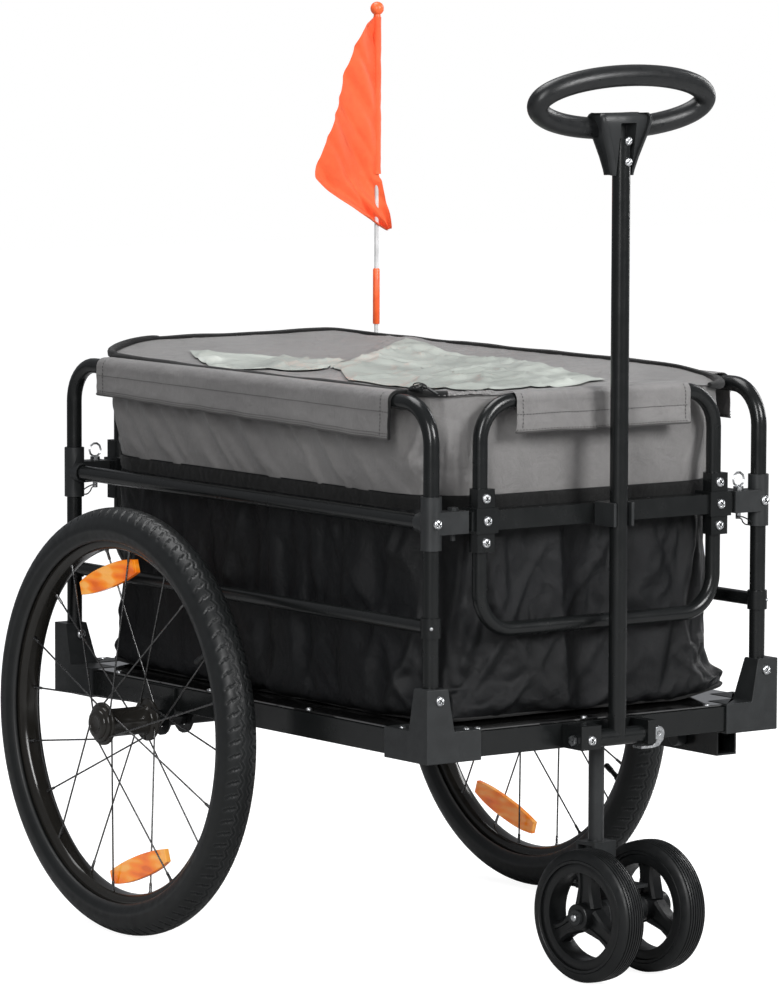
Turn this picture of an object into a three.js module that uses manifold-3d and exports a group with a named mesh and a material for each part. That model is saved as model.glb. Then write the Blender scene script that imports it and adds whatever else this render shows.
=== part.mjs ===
// A two-wheeled cargo trailer standing as a hand wagon: a steel base frame on spoked wheels,
// folding side arches and pinned end gates round a zipped fabric bag, a twin-wheel front caster,
// a tilting pull handle with a loop grip, and a safety flag on a rear post.
// Millimetres, +Z up, front (handle and caster) towards -Y, +X to the right seen from the front.
// The origin is on the ground, at the middle of the whole object's footprint.
import * as THREE from 'three';
import { mergeVertices } from 'three/addons/utils/BufferGeometryUtils.js';
import Module from 'manifold-3d';

const wasm = await Module();
wasm.setup();

// General clearances
const fitGap = 0.3;
const pinGap = 0.5;
const cutOverrun = 4;
const weldTolerance = 0.0001;

// Road wheels
const wheelRadius = 250;
const wheelClearance = 25.5;
const axleSetback = 149;
const tyreHalfWidth = 23.5;
const rimRadius = 214;
const rimInnerRadius = 202;
const rimHalfWidth = 12.5;
const rimWallThickness = 2.6;
const rimWellDepth = 7;
const hubBarrelRadius = 16.5;
const hubFlangeRadius = 25;
const hubFlangeThickness = 4;
const hubHalfLength = 33;
const hubCapRadius = 14;
const hubCapLength = 12;
const hubCapRound = 4;
const spokeCount = 20;
const spokeRadius = 1.2;
const spokeCircleRadius = 21;
const spokeLacingDegrees = 54;
const spokeStartDegrees = 5;
const spokeRimOffset = 5;
const spokeStagger = 2.3;
const reflectorLength = 122;
const reflectorHeight = 27;
const reflectorThickness = 6.4;
const reflectorEndTaper = 14;
const reflectorRib = 3;
const reflectorRibShares = [-1, -0.5, 0, 0.5, 1];
const reflectorCircleRadius = 170;
const leftReflectorDegrees = 79;
const rightReflectorDegrees = 108;
const treadDrop = 8;
const treadShare = 0.72;
const tyreWall = 6;

// Base frame
const frameLength = 750;
const frameWidth = 500;
const axleToFrame = 8;
const beamSize = 28;
const sleeveWall = 3;
const frontSleeveLength = 75;
const sideSleeveLength = 80;
const uprightHeight = 48;
const uprightBaseWidth = 38;
const uprightTopWidth = 29;
const uprightTopDepth = 25;
const uprightBoltHeight = 35;
const floorThickness = 2.4;
const floorInset = 6;

// Axle and its saddle brackets
const axleTubeRadius = 10;
const axleStubRadius = 6;
const axleStubReach = 37;
const saddlePlate = 3;
const saddleLength = 60;
const saddleLugRadius = 20;
const saddleTopClearance = 1.5;

// Side arches and their rails
const postRadius = 9;
const archRise = 394;
const archBendRadius = 45;
const upperRailRise = 264;
const lowerRailRise = 149;
const upperRailRadius = 9;
const lowerRailRadius = 8;
const lowerCollarRadius = 11.5;
const lowerCollarHeight = 22;
const teeRadius = 12.25;
const teeHeight = 59;
const railSocketRadius = 11.5;
const railSocketReach = 20;
const armReach = 43;
const armDepth = 23;
const armHeight = 25;
const armPinReach = 29.5;

// End gates
const gateInset = 66.7;
const gateTubeRadius = 8.5;
const gateTopRise = 394;
const gateBottomRise = 141;
const gateBendRadius = 43;
const barSize = 22;
const tongueSize = 16;
const connectorBlockWidth = 30;
const connectorBlockDepth = 29;
const connectorBlockHeight = 28;
const connectorCollarRadius = 11.8;
const connectorCollarHeight = 21;
const connectorFloor = 5;

const lanyardBandRadius = 10.6;
const lanyardBandHeight = 11;
const lanyardBandRise = 2;

// Fasteners that show
const boltHeadRadius = 5.2;
const boltHeadHeight = 3;
const pinRadius = 3;
const pinHeadRadius = 6;
const pinHeadHeight = 4;
const pinTail = 8;
const pinLoopRadius = 8;
const pinLoopWire = 1.5;

// Pull handle
const handleForward = 22.5;
const pivotHeight = 14.5;
const pivotTubeRadius = 10;
const pivotTubeLeft = 32;
const pivotTubeRight = 34;
const pivotBoltRadius = 4;
const bracketPlate = 3;
const bracketBlockWidth = 28;
const bracketEarWidth = 11;
const bracketHeight = 27;
const bracketDrop = 10.5;
const bracketNose = 13;
const poleRadius = 10.25;
const poleTopRise = 682;
const gripHalfWidth = 117;
const gripHalfHeight = 36;
const gripTubeRadius = 12;
const gripLeanDegrees = 34;
const gripAbovePole = 40;
const gripCentreForward = 1;
const bossWidth = 73;
const bossFootWidth = 25;
const bossWall = 3.4;
const bossGrasp = 41;
const bossHeight = 73;
const bossDepth = 34;
const bossLipHeight = 10;
const bossBoltRise = 15;
const bossSlotRise = 26;
const bossSlotDrop = 12;
const bossSlotWidth = 17;
const clipProng = 4;
const clipHeight = 27;
const leverLength = 25;
const leverThickness = 3;
const leverDrop = 16;
const leverWidth = 16;
const camRadius = 8;
const camPinRadius = 2;
const studRadius = 2.5;
const studEyeRadius = 3.6;

// Tow bar receiver
const receiverInset = 34.7;
const receiverSize = 29;
const receiverWall = 2.5;
const receiverLength = 118;
const receiverSetback = 28;
const knobSetback = 62;
const knobRadius = 9;
const knobLength = 14;
const plungerRadius = 3.5;
const plungerReach = 3;
const receiverBoltSetback = 81;

// Front caster
const casterRadius = 75;
const casterTyreHalfWidth = 16.5;
const casterTyreRound = 7;
const casterRimRadius = 60;
const casterRimInnerRadius = 49;
const casterRimHalfWidth = 14;
const casterSpokeHalfThickness = 9;
const casterHubRadius = 15;
const casterHubHalfLength = 19;
const casterSpacing = 98;
const casterSpokeCount = 3;
const casterSpokeWidth = 20;
const casterCapRadius = 9;
const casterCapHeight = 3;
const casterTrail = 38;
const casterSwivelDegrees = 7;
const casterAxleRadius = 5;
const stemRadius = 9;
const stemFlangeRadius = 12.5;
const stemFlangeHeight = 2.6;
const yokeWidth = 34;
const yokeHalfLength = 15;
const yokeTop = 150;
const yokeFoot = 96;
const yokeBossRadius = 15;
const yokeRib = 4;
const yokeWeb = 7;
const yokeBoreFloor = 5;

// Bag
const bagWall = 3;
const bagSideClearance = 1.45;
const bagEndClearance = 1.2;
const linerFootTaper = 8;
const bagCornerRadius = 85;
const linerSag = 12;
const linerTopRise = 287;
const flapDrop = 40;
const flapWrapShare = 0.75;
const sideFlapSetback = 62.7;
const endFlapSetback = 41;
const flapThickness = 2;
const flapGap = 0.6;
const coverRise = 14;
const coverThickness = 4;
const coverInset = 0.6;
// Basket wall from foot to top: height, how far it is drawn in, and its corners' radius, as shares.
const linerShares = [
  [0, 0.9, 0.24], [0.1, 0.75, 0.38], [0.23, 0.9, 0.56], [0.43, 1, 0.85], [0.62, 0.7, 0.94],
  [0.8, 0.45, 0.98], [1, 0.3, 1],
];
// The skirt's wall in the same way, from the basket's top up.
const skirtShares = [[0, 0.3, 1], [0.45, 0, 0.88], [1, 0, 0.7]];
// Cover from its edge to its middle: inset and rise as shares of the whole.
const coverShares = [[0, 0], [0.12, 0.4], [0.35, 0.75], [0.65, 0.95], [1, 1]];

// Flag
const flagRodRadius = 2.6;
const flagRodSetback = 20;
const flagRodInset = 5;
const flagHolderFoot = 174;
const flagHolderHeight = 46;
const flagHolderRadius = 6;
const flagHolderWall = 3;
const flagClampRadius = 12.4;
const flagFerruleFoot = 422;
const flagFerruleTop = 491;
const flagFerruleRadius = 4.2;
const flagTopRise = 813;
const flagBallRadius = 8.5;
const flagHoistTop = 803;
const flagHoistFoot = 609;
const flagSleeveRadius = 5.5;
const flagClothThickness = 1.6;
const flagFly = 120;
const flagFoldDepth = 9;
const flagWaves = 1.25;
const flagFrontStep = 4.6;
const flagColumns = 8;
// Cloth rows from hoist top to tip, as shares of hoist height and fly: how far down,
// how far the free edge stands out, how far the other edge passes the rod, how far forward.
const flagShares = [
  [0, 0.03, 0, 0], [0.13, 0.27, 0, 0], [0.35, 0.43, 0, 0], [0.6, 0.6, 0, 0], [0.88, 0.76, 0, 0],
  [1, 0.81, 0, 1], [1.08, 0.66, 0.03, 1.3], [1.2, 0.34, 0.07, 1.4], [1.3, 0.08, 0.11, 1.5],
  [1.37, -0.08, 0.12, 1.5],
];

// Facet counts
const tubeSides = 10;
const boltSides = 6;
const bendSteps = 4;
const roundSides = 12;
const headSides = 8;
const wheelFacets = 36;
const casterFacets = 22;
const wireSides = 4;
const gripSteps = 28;
const gripSides = 10;
const bagSteps = 4;
const flapSteps = 8;
const dome = 0.55;

// Heights and places that follow from the sizes above
const axleHeight = wheelRadius;
const frameUnderside = axleHeight + axleToFrame;
const halfWidth = frameWidth / 2;
const halfLength = frameLength / 2;
const beamCavity = beamSize + 2 * fitGap;
const sleeveOuter = beamCavity + 2 * sleeveWall;
const beamInset = sleeveOuter / 2;
const beamBottom = frameUnderside + sleeveWall + fitGap;
const beamTop = beamBottom + beamSize;
const beamMiddle = (beamBottom + beamTop) / 2;
const sleeveTop = frameUnderside + sleeveOuter;
const beamX = halfWidth - beamInset;
const beamY = halfLength - beamInset;
const wheelOffset = halfWidth + wheelClearance + tyreHalfWidth;
const gateHalfWidth = beamX - gateInset;
const receiverOffset = beamX - receiverInset;
const floorTop = beamTop + fitGap + floorThickness;
const postFoot = sleeveTop + fitGap;
const archTop = frameUnderside + archRise;
const upperRailZ = frameUnderside + upperRailRise;
const lowerRailZ = frameUnderside + lowerRailRise;
const gateTop = frameUnderside + gateTopRise;
const gateBottom = frameUnderside + gateBottomRise;
const pivotZ = frameUnderside + pivotHeight;
const frontFaceY = -(beamY + beamSize / 2);
const pivotY = frontFaceY - fitGap - handleForward;
const poleTop = frameUnderside + poleTopRise;
const gripCentre = new THREE.Vector3(0, pivotY - gripCentreForward, poleTop + gripAbovePole);
const tau = 2 * Math.PI;
const radians = THREE.MathUtils.degToRad;

// Finishes
const finish = (colour, roughness, metalness) => () =>
  new THREE.MeshStandardMaterial({ color: colour, roughness, metalness });
const blackPaint = finish(0x17191a, 0.38, 0.3);
const blackPlastic = finish(0x1b1d1e, 0.55, 0);
const glossPanel = finish(0x0e0f10, 0.12, 0);
const zinc = finish(0xb9bcbe, 0.3, 0.9);
const tyreRubber = finish(0x141516, 0.75, 0);
const wheelBlack = finish(0x0d0e0f, 0.3, 0.2);
const amber = finish(0xf07a12, 0.25, 0);
const foamGrip = finish(0x1d1f20, 0.5, 0);
const greyCloth = finish(0x757372, 0.9, 0);
const blackCloth = finish(0x151617, 0.9, 0);
const flagOrange = finish(0xf0532d, 0.7, 0);
const clearRod = finish(0xe6e8ea, 0.25, 0);

// Geometry helpers. Each returns a closed BufferGeometry whose faces point outwards.
function outward(geometry) {
  geometry.deleteAttribute('normal');
  geometry.deleteAttribute('uv');
  const welded = mergeVertices(geometry, weldTolerance);
  const p = welded.attributes.position;
  const index = welded.index.array;
  const [a, b, c] = [new THREE.Vector3(), new THREE.Vector3(), new THREE.Vector3()];
  const kept = [];
  let volume = 0;
  for (let i = 0; i < index.length; i += 3) {
    const [u, v, w] = [index[i], index[i + 1], index[i + 2]];
    if (u === v || v === w || w === u) continue;
    a.fromBufferAttribute(p, u);
    b.fromBufferAttribute(p, v);
    c.fromBufferAttribute(p, w);
    volume += a.dot(b.cross(c));
    kept.push(u, v, w);
  }
  if (volume < 0) kept.reverse();
  welded.setIndex(kept);
  return welded;
}

function boxBetween(x0, y0, z0, x1, y1, z1) {
  const box = new THREE.BoxGeometry(Math.abs(x1 - x0), Math.abs(y1 - y0), Math.abs(z1 - z0));
  return outward(box.translate((x0 + x1) / 2, (y0 + y1) / 2, (z0 + z1) / 2));
}

// A block whose foot and top are rectangles of their own, given as [x0, y0, x1, y1].
function taperedBlock(foot, z0, top, z1) {
  const ring = ([x0, y0, x1, y1], z) => [
    new THREE.Vector3(Math.min(x0, x1), Math.min(y0, y1), z),
    new THREE.Vector3(Math.max(x0, x1), Math.min(y0, y1), z),
    new THREE.Vector3(Math.max(x0, x1), Math.max(y0, y1), z),
    new THREE.Vector3(Math.min(x0, x1), Math.max(y0, y1), z),
  ];
  return loft([ring(foot, z0), ring(top, z1)]);
}

const alongX = new THREE.Matrix4().makeBasis(
  new THREE.Vector3(0, 1, 0), new THREE.Vector3(0, 0, 1), new THREE.Vector3(1, 0, 0));
const alongY = new THREE.Matrix4().makeBasis(
  new THREE.Vector3(1, 0, 0), new THREE.Vector3(0, 0, 1), new THREE.Vector3(0, -1, 0));

// An outline drawn in (Y, Z), (X, Z) or (X, Y) and extruded along X, Y or Z between two places.
function prism(axis, shape, from, to, curveSegments = bendSteps) {
  const depth = Math.abs(to - from);
  const solid = new THREE.ExtrudeGeometry(shape, { depth, bevelEnabled: false, curveSegments });
  if (axis === 'x') solid.applyMatrix4(alongX).translate(Math.min(from, to), 0, 0);
  if (axis === 'y') solid.applyMatrix4(alongY).translate(0, Math.max(from, to), 0);
  if (axis === 'z') solid.translate(0, 0, Math.min(from, to));
  return outward(solid);
}

const outline = (points) => new THREE.Shape(points.map(([x, y]) => new THREE.Vector2(x, y)));

// A round bar between two places on an axis; the other two coordinates follow in X, Y, Z order.
function rod(axis, radius, from, to, first, second, sides = roundSides) {
  const bar = new THREE.CylinderGeometry(radius, radius, Math.abs(to - from), sides);
  const middle = (from + to) / 2;
  if (axis === 'x') bar.rotateZ(Math.PI / 2).translate(middle, first, second);
  if (axis === 'y') bar.translate(first, middle, second);
  if (axis === 'z') bar.rotateX(Math.PI / 2).translate(first, second, middle);
  return outward(bar);
}

// The cutter for a round hole: its flats, not its corners, lie at the given radius.
function hole(axis, radius, from, to, first, second, sides = roundSides) {
  return rod(axis, radius / Math.cos(Math.PI / sides), from, to, first, second, sides);
}

// A low domed bolt head that stands on a face, its foot let in by one clearance.
function boltHead(axis, direction, face, first, second) {
  const head = new THREE.CylinderGeometry(
    boltHeadRadius * dome, boltHeadRadius, boltHeadHeight + fitGap, headSides);
  head.translate(0, (boltHeadHeight - fitGap) / 2, 0);
  if (axis === 'x') head.rotateZ(-direction * Math.PI / 2).translate(face, first, second);
  if (axis === 'y') head.rotateX(direction < 0 ? Math.PI : 0).translate(first, face, second);
  if (axis === 'z') head.rotateX(direction * Math.PI / 2).translate(first, second, face);
  return outward(head);
}

// A skin through equal rings of points, closed by a fan over each end ring or joined round.
function loft(rings, joinedRound = false) {
  const count = rings[0].length;
  const position = rings.flat().flatMap((v) => [v.x, v.y, v.z]);
  const index = [];
  const spans = joinedRound ? rings.length : rings.length - 1;
  for (let i = 0; i < spans; i += 1) {
    const here = i * count;
    const next = ((i + 1) % rings.length) * count;
    for (let j = 0; j < count; j += 1) {
      const k = (j + 1) % count;
      index.push(here + j, here + k, next + k, here + j, next + k, next + j);
    }
  }
  if (!joinedRound) {
    const last = (rings.length - 1) * count;
    const caps = THREE.ShapeUtils.triangulateShape(flatten(rings[0]), []);
    for (const [u, v, w] of caps) index.push(u, w, v);
    for (const [u, v, w] of THREE.ShapeUtils.triangulateShape(flatten(rings.at(-1)), [])) {
      index.push(last + u, last + v, last + w);
    }
  }
  const skin = new THREE.BufferGeometry();
  skin.setAttribute('position', new THREE.Float32BufferAttribute(position, 3));
  skin.setIndex(index);
  return outward(skin);
}

// The ring's points in a plane of their own, so that a cap can be cut into triangles.
function flatten(ring) {
  const middle = ring.reduce((sum, v) => sum.add(v), new THREE.Vector3()).divideScalar(ring.length);
  const first = ring[0].clone().sub(middle).normalize();
  const normal = new THREE.Vector3();
  for (let j = 0; j < ring.length; j += 1) {
    const a = ring[j].clone().sub(middle);
    const b = ring[(j + 1) % ring.length].clone().sub(middle);
    normal.add(a.cross(b));
  }
  const second = normal.normalize().cross(first);
  return ring.map((v) => {
    const arm = v.clone().sub(middle);
    return new THREE.Vector2(arm.dot(first), arm.dot(second));
  });
}

// A path through stations that are used as they come, so that straight runs take one step.
class StationPath extends THREE.Curve {
  constructor(stations) {
    super();
    this.stations = stations;
  }

  getPointAt(u) {
    return this.stations[Math.round(u * (this.stations.length - 1))].clone();
  }

  getTangentAt(u) {
    const last = this.stations.length - 1;
    const i = Math.round(u * last);
    const tangent = new THREE.Vector3();
    if (i > 0) tangent.add(this.stations[i].clone().sub(this.stations[i - 1]).normalize());
    if (i < last) tangent.add(this.stations[i + 1].clone().sub(this.stations[i]).normalize());
    return tangent.normalize();
  }
}

function roundSection(radius, sides) {
  const turn = (i) => (i + 1 / 2) * tau / sides;
  return outline(Array.from({ length: sides }, (_, i) => [
    radius * Math.cos(turn(i)), radius * Math.sin(turn(i))]));
}

function bentTube(stations, radius, sides = tubeSides) {
  const extrudePath = new StationPath(stations);
  const steps = stations.length - 1;
  return outward(new THREE.ExtrudeGeometry(roundSection(radius, sides), { steps, extrudePath }));
}

// Corners of a path joined by arcs of one radius, in the plane of each corner.
function filletPath(corners, radius) {
  const stations = [corners[0]];
  for (let i = 1; i < corners.length - 1; i += 1) {
    const back = corners[i - 1].clone().sub(corners[i]).normalize();
    const ahead = corners[i + 1].clone().sub(corners[i]).normalize();
    const half = back.angleTo(ahead) / 2;
    const centre = corners[i].clone().addScaledVector(
      back.clone().add(ahead).normalize(), radius / Math.sin(half));
    const start = corners[i].clone().addScaledVector(back, radius / Math.tan(half)).sub(centre);
    const end = corners[i].clone().addScaledVector(ahead, radius / Math.tan(half)).sub(centre);
    const swing = start.angleTo(end);
    for (let k = 0; k <= bendSteps; k += 1) {
      const a = Math.sin(swing * (1 - k / bendSteps)) / Math.sin(swing);
      const b = Math.sin(swing * k / bendSteps) / Math.sin(swing);
      stations.push(centre.clone().addScaledVector(start, a).addScaledVector(end, b));
    }
  }
  stations.push(corners.at(-1));
  return stations;
}

// A turned piece whose axis lies along X, from a profile of [radius, place along the axis].
function turned(profile, sides, quarterStart = 0) {
  const points = profile.map(([radius, place]) => new THREE.Vector2(radius, place));
  const body = new THREE.LatheGeometry(points, sides, quarterStart);
  return outward(body.rotateZ(-Math.PI / 2));
}

// Booleans
function toSolid(geometry) {
  const vertProperties = new Float32Array(geometry.attributes.position.array);
  const triVerts = new Uint32Array(geometry.index.array);
  return new wasm.Manifold(new wasm.Mesh({ numProp: 3, vertProperties, triVerts }));
}

function toGeometry(solid) {
  const mesh = solid.getMesh();
  const geometry = new THREE.BufferGeometry();
  geometry.setAttribute('position', new THREE.Float32BufferAttribute(mesh.vertProperties, 3));
  geometry.setIndex(Array.from(mesh.triVerts));
  return geometry;
}

function joined(...pieces) {
  return toGeometry(pieces.map(toSolid).reduce((sum, piece) => sum.add(piece)));
}

function cut(body, ...tools) {
  return toGeometry(tools.map(toSolid).reduce((rest, tool) => rest.subtract(tool), toSolid(body)));
}

// The tree of named pieces
const wagon = new THREE.Group();

function add(parent, name, geometry, material, x = 0, y = 0, z = 0) {
  const faceted = geometry.toNonIndexed();
  faceted.computeVertexNormals();
  const mesh = new THREE.Mesh(faceted, material());
  mesh.name = name;
  mesh.position.set(x, y, z);
  parent.add(mesh);
  return mesh;
}

const sides = [['left', -1], ['right', 1]];
const ends = [['front', -1], ['rear', 1]];

// Base frame: end beams run across, side beams butt against them inside the corner sleeves.
const endBeamHalf = halfWidth - sleeveWall - fitGap;
const sideBeamHalf = beamY - beamSize / 2 - fitGap;

function endBeam(end) {
  const y = end * beamY;
  const beam = boxBetween(
    -endBeamHalf, y - beamSize / 2, beamBottom, endBeamHalf, y + beamSize / 2, beamTop);
  if (end > 0) return beam;
  const bore = stemRadius + pinGap;
  return cut(beam, hole('z', bore, beamBottom - cutOverrun, beamTop + cutOverrun, 0, y));
}

function sideBeam(side) {
  const x = side * beamX;
  return boxBetween(
    x - beamSize / 2, -sideBeamHalf, beamBottom, x + beamSize / 2, sideBeamHalf, beamTop);
}

// Corner bracket: two sleeves over the beams and a tapered pocket that holds the arch's foot.
function cornerBracket(side, end) {
  const x = side * halfWidth;
  const y = end * halfLength;
  const inX = (distance) => x - side * distance;
  const inY = (distance) => y - end * distance;
  const cavityTop = frameUnderside + sleeveWall + beamCavity;
  const cavityFloor = frameUnderside + sleeveWall;
  const body = joined(
    boxBetween(x, y, frameUnderside, inX(frontSleeveLength), inY(sleeveOuter), sleeveTop),
    boxBetween(x, y, frameUnderside, inX(sleeveOuter), inY(sideSleeveLength), sleeveTop),
    taperedBlock(
      [x, y, inX(uprightBaseWidth), inY(sleeveOuter)], sleeveTop - fitGap,
      [x, y, inX(uprightTopWidth), inY(uprightTopDepth)], sleeveTop + uprightHeight),
    boltHead('y', end, y, side * beamX, sleeveTop + uprightBoltHeight));
  return cut(body,
    boxBetween(
      inX(sleeveWall), inY(sleeveWall), cavityFloor,
      inX(frontSleeveLength + cutOverrun), inY(sleeveWall + beamCavity), cavityTop),
    boxBetween(
      inX(sleeveWall), inY(sleeveWall), cavityFloor,
      inX(sleeveWall + beamCavity), inY(sideSleeveLength + cutOverrun), cavityTop),
    hole('z', postRadius + fitGap, sleeveTop, sleeveTop + uprightHeight + cutOverrun,
      side * beamX, end * beamY, tubeSides));
}

// Floor panel: rests on the beams and steps in round the four corner brackets.
function floorPanel() {
  const edgeX = halfWidth - floorInset;
  const edgeY = halfLength - floorInset;
  const clearX = halfWidth - sleeveOuter - fitGap;
  const clearY = halfLength - sleeveOuter - fitGap;
  const stepX = halfWidth - frontSleeveLength - fitGap;
  const stepY = halfLength - sideSleeveLength - fitGap;
  const corner = [[edgeX, stepY], [clearX, stepY], [clearX, clearY], [stepX, clearY], [stepX, edgeY]];
  const mirrored = [...corner].reverse().map(([x, y]) => [-x, y]);
  const half = [...corner, ...mirrored];
  const back = [...half].reverse().map(([x, y]) => [x, -y]);
  return prism('z', outline([...half, ...back]), floorTop - floorThickness, floorTop);
}

// Saddle bracket: two cheeks either side of the side beam, drawn down to a lug round the axle.
function axleSaddle(side) {
  const cheekTop = beamTop - saddleTopClearance;
  const lug = new THREE.Shape();
  lug.moveTo(axleSetback - saddleLength / 2, cheekTop);
  lug.lineTo(axleSetback - saddleLength / 2, beamBottom);
  lug.lineTo(axleSetback - saddleLugRadius, axleHeight);
  lug.absarc(axleSetback, axleHeight, saddleLugRadius, Math.PI, tau, false);
  lug.lineTo(axleSetback + saddleLength / 2, beamBottom);
  lug.lineTo(axleSetback + saddleLength / 2, cheekTop);
  const x = side * beamX;
  const gap = beamSize / 2 + fitGap;
  const outer = gap + saddlePlate;
  const bridge = beamBottom - fitGap;
  return cut(
    joined(
      prism('x', lug, x - outer, x - gap),
      prism('x', lug, x + gap, x + outer),
      boxBetween(
        x - outer, axleSetback - saddleLength / 2, bridge - saddlePlate,
        x + outer, axleSetback + saddleLength / 2, bridge)),
    hole('x', axleTubeRadius + fitGap, x - outer - cutOverrun, x + outer + cutOverrun,
      axleSetback, axleHeight));
}

// Axle: one tube between the hubs with a turned-down stub in each.
function axle() {
  const shoulder = wheelOffset - hubHalfLength - fitGap;
  const tip = wheelOffset + axleStubReach;
  const body = turned([
    [0, -tip], [axleStubRadius, -tip], [axleStubRadius, -shoulder], [axleTubeRadius, -shoulder],
    [axleTubeRadius, shoulder], [axleStubRadius, shoulder], [axleStubRadius, tip], [0, tip],
  ], roundSides);
  return body.translate(0, axleSetback, axleHeight);
}

for (const [end, sign] of ends) add(wagon, `${end}_beam`, endBeam(sign), blackPaint);
for (const [side, sign] of sides) add(wagon, `${side}_side_beam`, sideBeam(sign), blackPaint);
for (const [end, endSign] of ends) {
  for (const [side, sideSign] of sides) {
    const bracket = cornerBracket(sideSign, endSign);
    add(wagon, `${end}_${side}_corner_bracket`, bracket, blackPlastic);
  }
}
add(wagon, 'floor_panel', floorPanel(), glossPanel);
for (const [side, sign] of sides) add(wagon, `${side}_axle_saddle`, axleSaddle(sign), blackPaint);
add(wagon, 'axle', axle(), blackPaint);

// Side arches, each one bent tube standing in a front and a rear corner bracket.
function arch(side) {
  const x = side * beamX;
  const corners = [
    new THREE.Vector3(x, -beamY, postFoot), new THREE.Vector3(x, -beamY, archTop),
    new THREE.Vector3(x, beamY, archTop), new THREE.Vector3(x, beamY, postFoot),
  ];
  const foot = upperRailZ + teeHeight / 2 + lanyardBandRise;
  const band = rod('z', lanyardBandRadius, foot, foot + lanyardBandHeight, x, side * -beamY, tubeSides);
  return joined(bentTube(filletPath(corners, archBendRadius), postRadius), band);
}

// Tee collar on a post: a sleeve, a socket for the upper side rail and a square arm for the gate.
const armEnd = beamX - armReach;
const armPinX = beamX - armPinReach;
const railSocketEnd = beamY - railSocketReach;
const railEnd = beamY - teeRadius - fitGap;

const armTop = upperRailZ + armHeight / 2;
const armFoot = upperRailZ - armHeight / 2;

function gatePin(x, y, headFoot) {
  return joined(
    rod('z', pinRadius, armFoot - pinTail, headFoot + fitGap, x, y, boltSides),
    rod('z', pinHeadRadius, headFoot, headFoot + pinHeadHeight, x, y, headSides));
}

// On two opposite corners the gate's pin stays in the arm; the other two arms are bored for one.
function teeCollar(side, end) {
  const x = side * beamX;
  const y = end * beamY;
  const top = upperRailZ + teeHeight / 2;
  const foot = upperRailZ - teeHeight / 2;
  const socket = tongueSize / 2 + fitGap;
  const pinX = side * armPinX;
  const body = cut(
    joined(
      rod('z', teeRadius, foot, top, x, y, tubeSides),
      rod('y', railSocketRadius, y, end * railSocketEnd, x, upperRailZ, tubeSides),
      boxBetween(x, y - armDepth / 2, armFoot, side * armEnd, y + armDepth / 2, armTop),
      boltHead('y', end, y + end * (teeRadius - fitGap), x, upperRailZ)),
    hole('z', postRadius + fitGap, foot - cutOverrun, top + cutOverrun, x, y, tubeSides),
    hole('y', upperRailRadius + fitGap, end * (beamY - teeRadius), end * (railSocketEnd - cutOverrun),
      x, upperRailZ, tubeSides),
    boxBetween(
      side * (beamX - teeRadius), y - socket, upperRailZ - socket,
      side * (armEnd - cutOverrun), y + socket, upperRailZ + socket));
  if (side === end) return joined(body, gatePin(pinX, y, armTop - fitGap));
  return cut(
    body, hole('z', pinRadius + fitGap, foot, top, pinX, y, boltSides));
}

function upperRail(side) {
  return rod('y', upperRailRadius, -railEnd, railEnd, side * beamX, upperRailZ);
}

// Lower rail with its two plain collars, which slide down the posts.
function lowerRail(side) {
  const x = side * beamX;
  const top = lowerRailZ + lowerCollarHeight / 2;
  const foot = lowerRailZ - lowerCollarHeight / 2;
  const collar = (end) => rod('z', lowerCollarRadius, foot, top, x, end * beamY);
  const bore = (end) =>
    hole('z', postRadius + fitGap, foot - cutOverrun, top + cutOverrun, x, end * beamY, tubeSides);
  const rail = rod('y', lowerRailRadius, -beamY, beamY, x, lowerRailZ, tubeSides);
  return cut(joined(rail, collar(-1), collar(1)), bore(-1), bore(1));
}

for (const [side, sign] of sides) add(wagon, `${side}_arch`, arch(sign), blackPaint);
for (const [end, endSign] of ends) {
  for (const [side, sideSign] of sides) {
    add(wagon, `${end}_${side}_tee_collar`, teeCollar(sideSign, endSign), blackPlastic);
  }
}
for (const [side, sign] of sides) {
  add(wagon, `${side}_upper_rail`, upperRail(sign), blackPaint);
  add(wagon, `${side}_lower_rail`, lowerRail(sign), blackPaint);
}

// End gates: an upper and a lower loop meet in two connectors, which the crossbar passes through.
const blockTop = upperRailZ + connectorBlockHeight / 2;
const blockFoot = upperRailZ - connectorBlockHeight / 2;
const collarTop = blockTop + connectorCollarHeight;
const collarFoot = blockFoot - connectorCollarHeight;
const upperLoopFoot = upperRailZ + barSize / 2 + connectorFloor + fitGap;
const lowerLoopTop = upperRailZ - barSize / 2 - connectorFloor - fitGap;

function gateLoop(end, legEnd, rail) {
  const y = end * beamY;
  const corners = [
    new THREE.Vector3(-gateHalfWidth, y, legEnd), new THREE.Vector3(-gateHalfWidth, y, rail),
    new THREE.Vector3(gateHalfWidth, y, rail), new THREE.Vector3(gateHalfWidth, y, legEnd),
  ];
  return bentTube(filletPath(corners, gateBendRadius), gateTubeRadius);
}

// The crossbar with its two connectors: a square bar, a tongue at each end for the collar arms,
// and a block with two split collars on each side that takes the legs of both loops.
function gateBar(end) {
  const y = end * beamY;
  const shoulder = (armEnd + gateHalfWidth + connectorBlockWidth / 2) / 2;
  const tip = beamX - teeRadius - fitGap;
  const bar = boxBetween(
    -shoulder, y - barSize / 2, upperRailZ - barSize / 2,
    shoulder, y + barSize / 2, upperRailZ + barSize / 2);
  const tongue = boxBetween(
    -tip, y - tongueSize / 2, upperRailZ - tongueSize / 2,
    tip, y + tongueSize / 2, upperRailZ + tongueSize / 2);
  const body = joined(bar, tongue, ...gateConnector(-1, end), ...gateConnector(1, end));
  const bore = gateTubeRadius + fitGap;
  const holes = [-1, 1].flatMap((side) => [
    hole('z', pinRadius + fitGap, blockFoot, blockTop, side * armPinX, y, boltSides),
    hole('z', bore, upperLoopFoot - fitGap, collarTop + cutOverrun, side * gateHalfWidth, y, tubeSides),
    hole('z', bore, collarFoot - cutOverrun, lowerLoopTop + fitGap, side * gateHalfWidth, y, tubeSides),
  ]);
  return cut(body, ...holes);
}

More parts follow.
